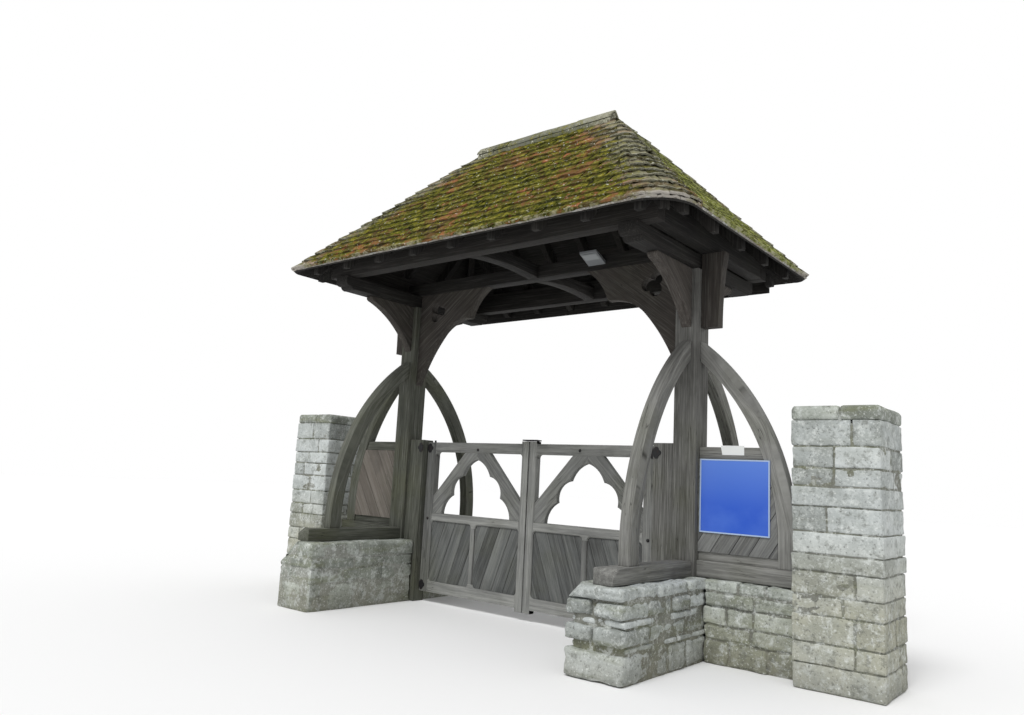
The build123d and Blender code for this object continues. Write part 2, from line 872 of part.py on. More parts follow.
# Gates
leaf_inner = gate_meeting_gap / 2
leaf_outer = hanging_post_inner_x - gate_hinge_clearance
opening_inner = leaf_inner + meeting_stile_width
opening_outer = leaf_outer - hinge_stile_width
opening_middle = (opening_inner + opening_outer) / 2
opening_width = opening_outer - opening_inner
gate_middle_y = gate_front_y + gate_thickness / 2
top_rail_underside = gate_top - gate_rail_height
middle_rail_underside = gate_middle_rail_top - gate_middle_rail_height
bottom_rail_top = gate_bottom + gate_bottom_rail_height
lower_panel_width = (opening_width - muntin_width) / 2
hinge_axis_x = hanging_post_inner_x - hinge_axis_inset
hinge_axis_y = gate_front_y + gate_thickness + hinge_axis_setback
hinge_heights = (hinge_height_low, hinge_height_high)


def gate_plane(side, y):
    """Upright plane at one depth: local x runs from the meeting stiles to the hinge."""
    return Plane(origin=(0, y, 0), x_dir=(side, 0, 0), z_dir=(0, -side, 0))


def upright_rectangle(x_low, x_high, z_low, z_high, mode=Mode.ADD):
    with Locations(((x_low + x_high) / 2, (z_low + z_high) / 2)):
        Rectangle(x_high - x_low, z_high - z_low, mode=mode)


def bracing_half(hand_sign):
    """Half of the pierced head: a raking back and an edge of three hollow foils."""

    def at(offset, z):
        return (opening_middle + hand_sign * offset, z)

    heel = (opening_width / 2, bracing_heel_z)
    with BuildSketch() as outline:
        with BuildLine():
            Polyline(
                at(0, bracing_apex_z),
                at(0, top_rail_underside),
                at(bracing_head, top_rail_underside),
                at(*heel),
                at(heel[0], gate_middle_rail_top),
                at(bracing_foot, gate_middle_rail_top),
            )
            foil_foot = at(bracing_foot, gate_middle_rail_top)
            lower_cusp = at(*bracing_lower_cusp)
            upper_cusp = at(*bracing_upper_cusp)
            SagittaArc(foil_foot, lower_cusp, -hand_sign * bracing_foot_sagitta)
            SagittaArc(lower_cusp, upper_cusp, -hand_sign * bracing_lobe_sagitta)
            SagittaArc(upper_cusp, at(0, bracing_apex_z), -hand_sign * bracing_apex_sagitta)
        make_face()
    return outline.sketch


def lower_lights():
    """The two boarded lights below the middle rail, with their corners rounded."""
    with BuildSketch() as lights:
        upright_rectangle(
            opening_inner,
            opening_inner + lower_panel_width,
            bottom_rail_top,
            middle_rail_underside,
        )
        upright_rectangle(
            opening_outer - lower_panel_width,
            opening_outer,
            bottom_rail_top,
            middle_rail_underside,
        )
        fillet(lights.vertices(), radius=gate_corner_radius)
    return lights.sketch


def upper_light():
    """The open light above the middle rail, rounded under the top rail."""
    with BuildSketch() as light:
        upright_rectangle(opening_inner, opening_outer, gate_middle_rail_top, top_rail_underside)
        fillet(light.vertices().group_by(Axis.Y)[-1], radius=gate_corner_radius)
    return light.sketch


def clasp_profile(root_x, inward, z):
    """Wrought plate that widens from its root into three round lobes."""
    lobe_x = root_x + inward * clasp_depth
    with BuildSketch() as outline:
        upright_rectangle(
            min(root_x, lobe_x),
            max(root_x, lobe_x),
            z - clasp_height / 2,
            z + clasp_height / 2,
        )
        with Locations((lobe_x, z)):
            Circle(clasp_lobe_radius)
        with Locations((lobe_x - inward * clasp_lobe_radius, z - clasp_height / 2)):
            Circle(clasp_lobe_radius)
        with Locations((lobe_x - inward * clasp_lobe_radius, z + clasp_height / 2)):
            Circle(clasp_lobe_radius)
    return outline.sketch


for side, hand in sides:
    with BuildPart() as gate_frame:
        with BuildSketch(gate_plane(side, gate_middle_y)):
            upright_rectangle(leaf_inner, leaf_outer, gate_bottom, gate_top)
            upright_rectangle(
                leaf_inner, opening_inner, gate_bottom - meeting_stile_drop, gate_top + meeting_stile_rise
            )
            add(upper_light(), mode=Mode.SUBTRACT)
            add(lower_lights(), mode=Mode.SUBTRACT)
        extrude(amount=gate_thickness / 2, both=True)
        front_face = gate_frame.faces().sort_by(Axis.Y)[0]
        for light in front_face.inner_wires():
            chamfer(light.edges(), length=gate_arris_chamfer)
    save(gate_frame, f"{hand}_gate_frame")

    with BuildPart() as gate_boards:
        with BuildSketch(gate_plane(side, gate_front_y + gate_board_setback + gate_board_thickness / 2)):
            add(lower_lights())
        extrude(amount=gate_board_thickness / 2, both=True)
    save(gate_boards, f"{hand}_gate_boards")

    with BuildPart() as gate_bracing:
        with BuildSketch(gate_plane(side, gate_middle_y)):
            add(bracing_half(-1))
            add(bracing_half(1))
        extrude(amount=bracing_thickness / 2, both=True)
    save(gate_bracing, f"{hand}_gate_bracing")

    knuckle_inner = pin_radius + knuckle_clearance
    knuckle_outer = knuckle_inner + knuckle_wall
    with BuildPart() as gate_straps:
        for height in hinge_heights:
            with BuildSketch(Plane.XY.offset(height + knuckle_lift)):
                with Locations((side * hinge_axis_x, hinge_axis_y)):
                    Circle(knuckle_outer)
            extrude(amount=knuckle_height)
            block(
                side * hinge_axis_x,
                side * (hinge_axis_x - strap_length),
                gate_front_y + gate_thickness,
                gate_front_y + gate_thickness + strap_thickness,
                height + knuckle_lift,
                height + knuckle_lift + strap_height,
            )
            with BuildSketch(Plane.XY.offset(height + knuckle_lift)):
                with Locations((side * hinge_axis_x, hinge_axis_y)):
                    Circle(knuckle_inner)
            extrude(amount=knuckle_height, mode=Mode.SUBTRACT)
            with BuildSketch(gate_plane(side, gate_front_y - clasp_thickness / 2)):
                add(clasp_profile(leaf_outer, -1, height))
            extrude(amount=clasp_thickness / 2, both=True)
    save(gate_straps, f"{hand}_gate_straps")

hanging_post_back_y = hanging_post_front_y + hanging_post_depth
with BuildPart() as gate_hooks:
    for side, _ in sides:
        for height in hinge_heights:
            with BuildSketch(Plane.XY.offset(height - hook_height)):
                with Locations((side * hinge_axis_x, hinge_axis_y)):
                    Circle(pin_radius)
            extrude(amount=hook_height + pin_height)
            block(
                side * hinge_axis_x,
                side * (hanging_post_inner_x + hook_plate_width / 2),
                hanging_post_back_y + hook_plate_thickness,
                hinge_axis_y + pin_radius,
                height - hook_height,
                height,
            )
            block(
                side * hanging_post_inner_x,
                side * (hanging_post_inner_x + hook_plate_width),
                hanging_post_back_y,
                hanging_post_back_y + hook_plate_thickness,
                height - hook_plate_height / 2,
                height + hook_plate_height / 2,
            )
            if height > wall_top:
                with BuildSketch(gate_plane(side, hanging_post_front_y - clasp_thickness / 2)):
                    add(clasp_profile(hanging_post_inner_x, 1, height))
                extrude(amount=clasp_thickness / 2, both=True)
save(gate_hooks, "gate_hooks")

# Loop that drops over the meeting stiles, carried by the right leaf
stile_top = gate_top + meeting_stile_rise
latch_right = opening_inner
latch_floor = stile_top + latch_clearance
with BuildPart() as gate_latch:
    with BuildSketch(Plane.XY.offset(latch_floor)):
        with Locations((latch_right - latch_length / 2, gate_middle_y)):
            Rectangle(latch_length, latch_depth)
            Rectangle(latch_length - 2 * latch_bar, latch_depth - 2 * latch_bar, mode=Mode.SUBTRACT)
    extrude(amount=latch_bar)
    block(
        latch_right - latch_seat,
        latch_right,
        gate_middle_y - latch_seat / 2,
        gate_middle_y + latch_seat / 2,
        stile_top,
        latch_floor + latch_bar,
    )
save(gate_latch, "gate_latch")

# Fittings
with BuildPart() as sign_board:
    sign_left = post_centre_x + sign_left_offset
    block(
        sign_left,
        sign_left + sign_width,
        -brace_width / 2 - sign_thickness,
        -brace_width / 2,
        sign_bottom,
        sign_bottom + sign_height,
    )
save(sign_board, "sign_board")

with BuildPart() as lamp:
    with BuildSketch(Plane(origin=(lamp_centre_x, 0, 0), x_dir=(0, -1, 0), z_dir=(-1, 0, 0))):
        lamp_back = lintel_width / 2
        lamp_front = lamp_back + lamp_reach
        lamp_heel_z = beam_level + lamp_lift
        with BuildLine():
            Polyline(
                (lamp_back, lamp_heel_z),
                (lamp_front, lamp_heel_z + lamp_face_rise),
                (lamp_front, lamp_heel_z + lamp_face_rise + lamp_lip),
                (lamp_back, lamp_heel_z + lamp_back_height),
                close=True,
            )
        make_face()
    extrude(amount=lamp_width / 2, both=True)
save(lamp, "lamp")
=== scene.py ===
import math
import random
from functools import partial

import bmesh
import bpy
from mathutils import Matrix, Vector, noise


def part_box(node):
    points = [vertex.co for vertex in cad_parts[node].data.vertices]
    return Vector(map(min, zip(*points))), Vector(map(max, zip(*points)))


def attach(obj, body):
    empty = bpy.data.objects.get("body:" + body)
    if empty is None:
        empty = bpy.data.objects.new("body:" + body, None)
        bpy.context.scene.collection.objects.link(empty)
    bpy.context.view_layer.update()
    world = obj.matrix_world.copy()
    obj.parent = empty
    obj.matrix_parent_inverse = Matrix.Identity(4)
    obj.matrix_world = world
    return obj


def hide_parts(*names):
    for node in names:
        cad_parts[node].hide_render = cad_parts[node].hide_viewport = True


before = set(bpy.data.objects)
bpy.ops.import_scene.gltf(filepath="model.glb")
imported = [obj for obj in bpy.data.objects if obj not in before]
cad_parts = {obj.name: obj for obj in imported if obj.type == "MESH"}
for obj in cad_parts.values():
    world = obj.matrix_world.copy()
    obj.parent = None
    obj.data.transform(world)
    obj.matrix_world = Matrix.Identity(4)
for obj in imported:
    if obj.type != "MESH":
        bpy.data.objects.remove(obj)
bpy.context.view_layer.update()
scene = bpy.context.scene
handSigns = {"left": -1, "right": 1}
print("frame loaded:", len(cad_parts), "nodes")


def colour(hexText):  # sRGB hex to linear RGBA
    parts = [int(hexText[i:i + 2], 16) / 255 for i in (1, 3, 5)]
    return tuple(c / 12.92 if c <= 0.04045 else ((c + 0.055) / 1.055) ** 2.4 for c in parts) + (1.0,)


def addNode(tree, kind, inputs=(), stops=(), **settings):
    # Inputs reach the live sockets by name, or in turn from a list, and a node gives its first live output
    node = tree.nodes.new(kind)
    for name, value in settings.items():
        setattr(node, name, value)
    live = [socket for socket in node.inputs if socket.enabled]
    named = {socket.name: socket for socket in live}
    for key, value in inputs.items() if isinstance(inputs, dict) else enumerate(inputs):
        socket = named[key] if isinstance(key, str) else live[key]
        if isinstance(value, bpy.types.Node):
            value = next(output for output in value.outputs if output.enabled)
        if isinstance(value, bpy.types.NodeSocket):
            tree.links.new(value, socket)
        else:
            socket.default_value = value
    if stops:
        while len(node.color_ramp.elements) < len(stops):
            node.color_ramp.elements.new(1)
        for element, (place, hexText) in zip(node.color_ramp.elements, stops):
            element.position = place
            element.color = colour(hexText)
    return node


def startMaterial(name):
    material = bpy.data.materials.new(name)
    material.use_nodes = True
    material.node_tree.nodes.clear()
    return material, material.node_tree, partial(addNode, material.node_tree)


def layPatterns(tree, space, patterns):
    # Noise by name, from its size in mm (one, or one for each axis), its detail and its roughness
    laid = {}
    for name, (size, detail, rough) in patterns.items():
        scale = [1000 / length for length in (size if isinstance(size, tuple) else (size,) * 3)]
        mapped = addNode(tree, "ShaderNodeMapping", {"Vector": space, "Scale": scale})
        values = {"Vector": mapped, "Scale": 1.0, "Detail": detail, "Roughness": rough}
        laid[name] = addNode(tree, "ShaderNodeTexNoise", values)
    return laid


def coat(tree, base, layers):
    # Lays colours over a base in turn, each where its pattern runs from start to full, and no more than most
    for pattern, start, full, most, over in layers:
        share = addNode(tree, "ShaderNodeMapRange", [pattern, start, full, 0.0, most])
        over = colour(over) if isinstance(over, str) else over
        base = addNode(tree, "ShaderNodeMix", [share, base, over], data_type="RGBA")
    return base


def finishMaterial(tree, base, roughness, height, depth, more=()):
    bump = addNode(tree, "ShaderNodeBump", {"Height": height, "Distance": depth, "Strength": 1.0})
    values = {"Base Color": base, "Roughness": roughness, "Normal": bump, **dict(more)}
    shader = addNode(tree, "ShaderNodeBsdfPrincipled", values)
    addNode(tree, "ShaderNodeOutputMaterial", {"Surface": shader})


# Camera

cameraLook = {
    "place": (4.030, -5.200, 1.142),
    "right": (0.7769, 0.6275, 0.0518),
    "up": (0.0569, -0.1520, 0.9867),
    "lens": 27.3,  # mm
    "sensor": 36,
}


def placeCamera():
    data = bpy.data.cameras.new("streetCamera")
    data.lens = cameraLook["lens"]
    data.sensor_width = cameraLook["sensor"]
    right = Vector(cameraLook["right"]).normalized()
    up = Vector(cameraLook["up"]).normalized()
    turn = Matrix((right, up, right.cross(up))).transposed()
    eye = bpy.data.objects.new("streetCamera", data)
    eye.matrix_world = Matrix.Translation(cameraLook["place"]) @ turn.to_4x4()
    scene.collection.objects.link(eye)
    scene.camera = eye


placeCamera()

# Light and floor

studio = {
    "skyStrength": 0.70,
    "sunStrength": 1.9,
    "sunAngle": 24,  # degrees, soft as a bright overcast sky
    "sunFrom": (0.10, -0.85, 1.15),
    "floorHalf": 40,
    "floorDrop": 0.001,
    "floorColour": "#EDEDED",
    "floorGrain": {"grain": (40, 2.0, 0.5)},
}


def lightSky():
    world = bpy.data.worlds.new("paleStudio")
    scene.world = world
    world.use_nodes = True
    world.node_tree.nodes.clear()
    add = partial(addNode, world.node_tree)
    rays = add("ShaderNodeLightPath").outputs
    seen = add("ShaderNodeMath", [rays["Is Camera Ray"], rays["Is Glossy Ray"]], operation="MAXIMUM")
    shown = add("ShaderNodeMath", [seen, rays["Is Transmission Ray"]], operation="MAXIMUM")
    strength = add("ShaderNodeMapRange", {"Value": shown, "To Min": studio["skyStrength"], "To Max": 1.0})
    sky = add("ShaderNodeBackground", {"Color": (1, 1, 1, 1), "Strength": strength})
    add("ShaderNodeOutputWorld", {"Surface": sky})
    lamp = bpy.data.lights.new("softSun", "SUN")
    lamp.energy = studio["sunStrength"]
    lamp.angle = math.radians(studio["sunAngle"])
    sun = bpy.data.objects.new("softSun", lamp)
    sun.rotation_euler = Vector(studio["sunFrom"]).to_track_quat("Z", "Y").to_euler()
    scene.collection.objects.link(sun)


def layFloor():
    # Matt paper backdrop: even and pale, with a grain too fine to see
    half = studio["floorHalf"]
    rim = [(-half, -half, 0), (half, -half, 0), (half, half, 0), (-half, half, 0)]
    mesh = bpy.data.meshes.new("floor")
    mesh.from_pydata(rim, [], [(0, 1, 2, 3)])
    floor = bpy.data.objects.new("floor", mesh)
    floor.location.z = -studio["floorDrop"]
    scene.collection.objects.link(floor)
    material, tree, add = startMaterial("paleFloor")
    place = add("ShaderNodeTexCoord").outputs["Object"]
    grain = layPatterns(tree, place, studio["floorGrain"])["grain"]
    finishMaterial(tree, colour(studio["floorColour"]), 0.9, grain, 0.0005)
    mesh.materials.append(material)


lightSky()
layFloor()
scene.view_settings.view_transform = "Standard"
print("camera, light and floor placed")

# Oak

oakLook = {
    "grain": {  # in the space of each stick, X along it
        "fibres": ((110, 3.5, 3.5), 3.0, 0.6),
        "rings": ((700, 30, 30), 2.0, 0.6),
        "checks": ((520, 24, 24), 1.5, 0.6),
        "silver": ((330, 8, 8), 6.0, 0.6),
    },
    "weather": {"stains": (420, 4.0, 0.5)},
    "toneSpan": 0.24,  # how far one stick may differ from the next
    "relief": 0.0012,  # metres
}


def makeOak(name, palette, greenShare, silverShare):
    # Sawn oak left bare to the weather: raised silver fibres, dark checks along the grain, green where damp
    material, tree, add = startMaterial(name)
    tone = add("ShaderNodeAttribute", attribute_name="tone").outputs["Fac"]
    grain = add("ShaderNodeAttribute", attribute_name="grain").outputs["Vector"]
    place = add("ShaderNodeTexCoord").outputs["Object"]
    marks = layPatterns(tree, grain, oakLook["grain"])
    stains = layPatterns(tree, place, oakLook["weather"])["stains"]
    blend = add("ShaderNodeMix", [0.55, marks["fibres"], marks["rings"]])
    shifted = add("ShaderNodeMath", [tone, oakLook["toneSpan"], blend], operation="MULTIPLY_ADD")
    wood = add("ShaderNodeValToRGB", [shifted], stops=palette)
    offset = add("ShaderNodeMath", [marks["checks"], 0.5], operation="SUBTRACT")
    distance = add("ShaderNodeMath", [offset], operation="ABSOLUTE")
    crack = add("ShaderNodeMapRange", [distance, 0.002, 0.013, 1.0, 0.0])
    opened = add("ShaderNodeMapRange", [stains, 0.48, 0.62, 0.0, 0.8])
    split = add("ShaderNodeMath", [crack, opened], operation="MULTIPLY")
    base = coat(tree, wood, [
        (stains, 0.48, 0.68, greenShare, "#50523E"),
        (marks["silver"], 0.50, 0.72, silverShare, "#AAAAA4"),
        (stains, 0.42, 0.30, 0.30, "#2A2825"),
        (split, 0.0, 1.0, 1.0, "#201E1B"),
    ])
    height = add("ShaderNodeMath", [marks["fibres"], split], operation="SUBTRACT")
    rough = add("ShaderNodeMapRange", {"Value": marks["fibres"], "To Min": 0.95, "To Max": 0.75})
    finishMaterial(tree, base, rough, height, oakLook["relief"], {"Specular IOR Level": 0.3})
    return material


oakFinishes = {  # material name, dark, middle and pale wood, share of green, share of silver
    # lit and shaded are copies of one oak: lit carries painted light, shaded carries painted shade, darker
    # and greener
    "lit": ("litOakPaintedLight", "#474643", "#6C6C69", "#92928E", 0.35, 0.40),
    "shaded": ("shadedOakPaintedShade", "#2E2F29", "#494B43", "#66685F", 0.55, 0.25),
    "gate": ("gateOak", "#4B4C4A", "#6D6E6C", "#90918D", 0.25, 0.40),
    "boards": ("boardOak", "#393A39", "#575958", "#757774", 0.30, 0.20),
    "leftPanel": ("leftBoardOak", "#544E48", "#67615A", "#7B756E", 0.20, 0.20),
    "rightPanel": ("rightBoardOak", "#4E4E4D", "#6C6D6C", "#8B8C8A", 0.15, 0.35),
    # dark is near black: painted shade under the roof, for the roof timbers and the boarding
    "dark": ("soffitOakPaintedShade", "#0E0D0C", "#191715", "#272422", 0.05, 0.08),
    "bracket": ("bracketOak", "#24211F", "#393531", "#504B47", 0.10, 0.15),
}
oak = {
    finish: makeOak(name, [(0.36, dark), (0.62, middle), (0.86, pale)], green, silver)
    for finish, (name, dark, middle, pale, green, silver) in oakFinishes.items()
}

# Stone and mortar

stoneLook = {
    "patterns": {
        "beds": (170, 5.0, 0.6),
        "blotches": (55, 4.0, 0.65),
        "crusts": (75, 7.0, 0.8),
        "speckles": (16, 3.0, 0.6),
        "streaks": ((460, 460, 75), 6.0, 0.62),
    },
    "ochreFade": 0.5,  # metres over which the ochre stain dies out
    "darkBaseTop": 0.20,
    "relief": 0.009,
}


def makeLimestone(name, lime, algae, ochreTop):
    # Weathered limestone: cream-grey blocks, chalky crusts, olive algae in level streaks, ochre low down
    material, tree, add = startMaterial(name)
    tone = add("ShaderNodeAttribute", attribute_name="tone").outputs["Fac"]
    place = add("ShaderNodeTexCoord").outputs["Object"]
    height = add("ShaderNodeSeparateXYZ", [place]).outputs["Z"]
    marks = layPatterns(tree, place, stoneLook["patterns"])
    mixed = add("ShaderNodeMix", [0.32, marks["beds"], tone])
    stone = add("ShaderNodeValToRGB", [mixed], stops=list(zip((0.3, 0.5, 0.7), lime)))
    low = add("ShaderNodeMapRange", [height, ochreTop + stoneLook["ochreFade"], ochreTop, 0.0, 0.8])
    stained = add("ShaderNodeMath", [low, marks["beds"]], operation="MULTIPLY")
    base = coat(tree, stone, [
        (stained, 0.0, 1.0, 1.0, "#99936F"),
        (marks["streaks"], 0.50, 0.66, algae, "#6F7353"),
        (marks["crusts"], 0.51, 0.62, 0.65, "#CFD3D0"),
        (marks["blotches"], 0.44, 0.35, 0.50, "#676962"),
        # darker towards the ground
        (height, stoneLook["darkBaseTop"], 0.0, 0.45, "#565750"),
        (marks["speckles"], 0.41, 0.32, 0.60, "#50504B"),
        (marks["speckles"], 0.60, 0.68, 0.50, "#DFE2DE"),
    ])
    relief = add("ShaderNodeMix", [0.5, marks["blotches"], marks["speckles"]])
    finishMaterial(tree, base, 0.93, relief, stoneLook["relief"], {"Specular IOR Level": 0.2})
    return material


paleLime = ("#868A86", "#A6ABA9", "#C4C9C8")
dullLime = ("#70746C", "#949991", "#B7BCB5")
limestone = {
    "pier": makeLimestone("pierLimestone", paleLime, 0.12, 0.45),
    "coping": makeLimestone("copingLimestone", dullLime, 0.6, 0.0),
    "wing": makeLimestone("wingLimestone", dullLime, 0.45, 0.0),
    "left_dwarf_wall": makeLimestone("wallLimestone", dullLime, 0.55, -0.2),
    "right_dwarf_wall": makeLimestone("rubbleLimestone", paleLime, 0.45, -0.2),
}
mortar = {
    "dark": makeLimestone("oldLimeMortar", ("#5E5F57", "#777870", "#8E8F88"), 0.5, -0.2),
    "pale": makeLimestone("paleLimeMortar", ("#74766E", "#8F918A", "#A6A8A2"), 0.5, -0.2),
    "eaves": makeLimestone("eavesMortar", ("#6F6A64", "#8B857E", "#A8A29B"), 0.25, -2.0),
}

# Clay tiles

tileLook = {
    "patterns": {
        "patches": (460, 6.0, 0.68),
        "cushions": (62, 5.0, 0.7),
        "tufts": (24, 4.0, 0.7),
        "flecks": (26, 2.0, 0.6),
    },
    "hipBand": 0.34,  # metres each side of a hip that carry grey lichen
    "hipFade": 0.24,
    "hipTones": [(0.38, "#2F2E1E"), (0.5, "#575440"), (0.62, "#85826F")],
    "lichenTop": 0.067,  # metres above the eaves
    "lichenFade": 0.03,
    "relief": 0.016,
}


def makeTile(name, clay, moss, mossShare, lip):
    # Hand-made clay tile: fired clay in patches between moss cushions, worn grey lips, painted shadow in
    # black under each lap, grey lichen along the hips and pale lichen at the eaves
    material, tree, add = startMaterial(name)
    tone = add("ShaderNodeAttribute", attribute_name="tone").outputs["Fac"]
    rise = add("ShaderNodeAttribute", attribute_name="rise").outputs["Fac"]  # 0 at the tail, 1 at the lap
    place = add("ShaderNodeTexCoord").outputs["Object"]
    x, y, z = add("ShaderNodeSeparateXYZ", [place]).outputs
    marks = layPatterns(tree, place, tileLook["patterns"])
    tufts, cushions, patches = marks["tufts"], marks["cushions"], marks["patches"]
    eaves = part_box("front_roof_slope")[0]
    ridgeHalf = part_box("right_roof_slope")[1].x + eaves.y

    fired = add("ShaderNodeMix", [0.5, tone, patches])
    clayColour = add("ShaderNodeValToRGB", [fired], stops=clay)
    lumps = add("ShaderNodeMix", [0.6, tufts, cushions])
    mossColour = add("ShaderNodeValToRGB", [lumps], stops=moss)
    grown = add("ShaderNodeMix", [0.55, cushions, patches])

    alongRidge = add("ShaderNodeMath", [x], operation="ABSOLUTE")
    pastRidge = add("ShaderNodeMath", [alongRidge, ridgeHalf], operation="SUBTRACT")
    acrossRidge = add("ShaderNodeMath", [y], operation="ABSOLUTE")
    offHip = add("ShaderNodeMath", [pastRidge, acrossRidge], operation="SUBTRACT")
    fromHip = add("ShaderNodeMath", [offHip], operation="ABSOLUTE")
    ragged = add("ShaderNodeMath", [fromHip, cushions], operation="ADD")
    hipEdge = tileLook["hipBand"] + 0.52
    onHip = add("ShaderNodeMapRange", [ragged, hipEdge, hipEdge - tileLook["hipFade"]])
    hipBlend = add("ShaderNodeMix", [0.4, tufts, tone])
    hipColour = add("ShaderNodeValToRGB", [hipBlend], stops=tileLook["hipTones"])

    atTail = add("ShaderNodeMapRange", [rise, 0.22, 0.05])
    tufted = add("ShaderNodeMix", [0.5, tufts, cushions])
    rubbed = add("ShaderNodeMapRange", [tufted, 0.42, 0.52])
    bare = add("ShaderNodeMath", [atTail, rubbed], operation="MULTIPLY")
    lipShare = add("ShaderNodeMath", [onHip, lip], operation="MAXIMUM")
    worn = add("ShaderNodeMath", [bare, lipShare], operation="MULTIPLY")
    # painted shadow under each lap, darkest towards the head of the exposed tile and broken by the tufts
    paintedLapShadow = add("ShaderNodeMath", [tufts, 0.6, rise], operation="MULTIPLY_ADD")

    lichenTop = eaves.z + tileLook["lichenTop"]
    atEaves = add("ShaderNodeMapRange", [z, lichenTop, lichenTop - tileLook["lichenFade"]])
    spotted = add("ShaderNodeMapRange", [cushions, 0.48, 0.58, 0.0, 0.45])
    crustShare = add("ShaderNodeMath", [onHip, spotted], operation="MAXIMUM")
    crusted = add("ShaderNodeMath", [atEaves, crustShare], operation="MULTIPLY")

    base = coat(tree, clayColour, [
        (grown, *mossShare, 1.0, mossColour),
        (onHip, 0.0, 1.0, 0.75, hipColour),
        (worn, 0.0, 1.0, 1.0, "#A09F8D"),
        (marks["flecks"], 0.66, 0.70, 0.80, "#CFCFC2"),
        # painted shadow under the lap
        (paintedLapShadow, 0.92, 1.25, 0.85, "#17180C"),
        (crusted, 0.0, 1.0, 1.0, "#A5A098"),
    ])
    relief = add("ShaderNodeMix", [0.4, tufts, cushions])
    finishMaterial(tree, base, 0.95, relief, tileLook["relief"], {"Specular IOR Level": 0.08})
    return material


greenMoss = [(0.38, "#181B05"), (0.46, "#3B400E"), (0.53, "#605E17"), (0.63, "#968D39")]
sunnyMoss = [(0.36, "#34380F"), (0.45, "#62682A"), (0.54, "#878C42"), (0.66, "#B0B26C")]
oldClay = [(0.3, "#4E4024"), (0.5, "#785534"), (0.7, "#9C6242")]
sunnyClay = [(0.3, "#5E5438"), (0.5, "#7C7048"), (0.7, "#95885C")]
greyClay = [(0.3, "#54564A"), (0.5, "#747569"), (0.7, "#96978C")]
mossyTile = makeTile("mossyClayTile", oldClay, greenMoss, (0.43, 0.50), 0.08)
# the right end slope's copy is lighter and yellower as painted sunlight, with more worn lips
sunnyTile = makeTile("sunnyClayTile", sunnyClay, sunnyMoss, (0.38, 0.46), 0.25)
ridgeTile = makeTile("lichenedRidgeTile", greyClay, greenMoss, (0.48, 0.60), 0.1)

# Iron and painted sheet


def makeIron(name, hexText, rustShare):
    # Wrought iron under old black paint: hammer marks, and a little rust where the paint is gone
    material, tree, add = startMaterial(name)
    place = add("ShaderNodeTexCoord").outputs["Object"]
    marks = layPatterns(tree, place, {"hammer": (18, 4.0, 0.5)})["hammer"]
    base = coat(tree, colour(hexText), [(marks, 0.55, 0.70, rustShare, "#4A2E20")])
    rough = add("ShaderNodeMapRange", {"Value": marks, "To Min": 0.45, "To Max": 0.8})
    finishMaterial(tree, base, rough, marks, 0.001, {"Metallic": 0.3})
    return material


def makeSheet(name, hexText, fadedText, rough, glareSpan=None):
    # Sheet metal under baked paint: even colour, faded in clouds, faint orange peel, and where a glare span
    # is given, lighter towards the top as painted glare
    material, tree, add = startMaterial(name)
    place = add("ShaderNodeTexCoord").outputs["Object"]
    marks = layPatterns(tree, place, {"clouds": (260, 5.0, 0.5), "peel": (3, 1.0, 0.5)})
    faded = add("ShaderNodeMapRange", [marks["clouds"], 0.4, 0.8, 0.0, 0.35])
    if glareSpan:
        height = add("ShaderNodeSeparateXYZ", [place]).outputs["Z"]
        # painted glare: lighter towards the top
        paintedGlare = add("ShaderNodeMapRange", [height, *glareSpan, 0.0, 0.8])
        faded = add("ShaderNodeMath", [faded, paintedGlare], operation="MAXIMUM")
    base = coat(tree, colour(hexText), [(faded, 0.0, 1.0, 1.0, fadedText)])
    finishMaterial(tree, base, rough, marks["peel"], 0.0001)
    return material


signLow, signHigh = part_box("sign_board")
blackIron = makeIron("blackWroughtIron", "#1A1A1C", 0.35)
# the sign's blue grows lighter towards its top: painted glare
signBlue = makeSheet("signEnamel", "#1B52C2", "#668FDC", 0.4, (signLow.z + 0.15, signHigh.z + 0.1))
signPale = makeSheet("paleEnamel", "#A9BCD6", "#8FA6CC", 0.4)
cardWhite = makeSheet("whiteCard", "#E4E6E4", "#D2D5D3", 0.6)
lampGrey = makeSheet("lampCasing", "#75787A", "#696C6E", 0.5)
lampGlass = makeSheet("lampGlass", "#8E9293", "#83878A", 0.25)
print("materials made")

# Meshes and their grain

grainReach = 5  # metres, how far apart two sticks may lie in the same pattern


def linkPiece(mesh, body, slotName, material, *replaced):
    piece = bpy.data.objects.new(mesh.name, mesh)
    scene.collection.objects.link(piece)
    mesh.materials.clear()
    mesh.materials.append(material)
    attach(piece, body)
    if replaced:
        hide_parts(*replaced)


def finishMesh(mesh, sharpDegrees):
    mesh.shade_smooth()
    mesh.set_sharp_from_angle(angle=math.radians(sharpDegrees))
    return mesh


def meshFrom(bm, name, sharpDegrees=28):
    mesh = bpy.data.meshes.new(name)
    bm.to_mesh(mesh)
    bm.free()
    return finishMesh(mesh, sharpDegrees)


def addLayers(bm, *names):
    for name in names:
        kind = bm.verts.layers.float_vector if name == "grain" else bm.verts.layers.float
        kind.new(name)
    return bm


def solidOf(nodeName):  # merged copy of a CAD node
    bm = bmesh.new()
    bm.from_mesh(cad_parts[nodeName].data)
    bmesh.ops.remove_doubles(bm, verts=bm.verts, dist=1e-5)
    bmesh.ops.dissolve_limit(bm, angle_limit=math.radians(0.5), verts=bm.verts, edges=bm.edges)
    return addLayers(bm, "grain", "tone")


def joinInto(target, part):
    mesh = bpy.data.meshes.new("part")
    part.to_mesh(mesh)
    part.free()
    target.from_mesh(mesh)
    bpy.data.meshes.remove(mesh)


def islandsOf(bm):
    seen = set()
    islands = []
    for start in bm.verts:
        if start in seen:
            continue
        island = [start]
        seen.add(start)
        for vert in island:
            for edge in vert.link_edges:
                other = edge.other_vert(vert)
                if other not in seen:
                    seen.add(other)
                    island.append(other)
        islands.append(island)
    return islands


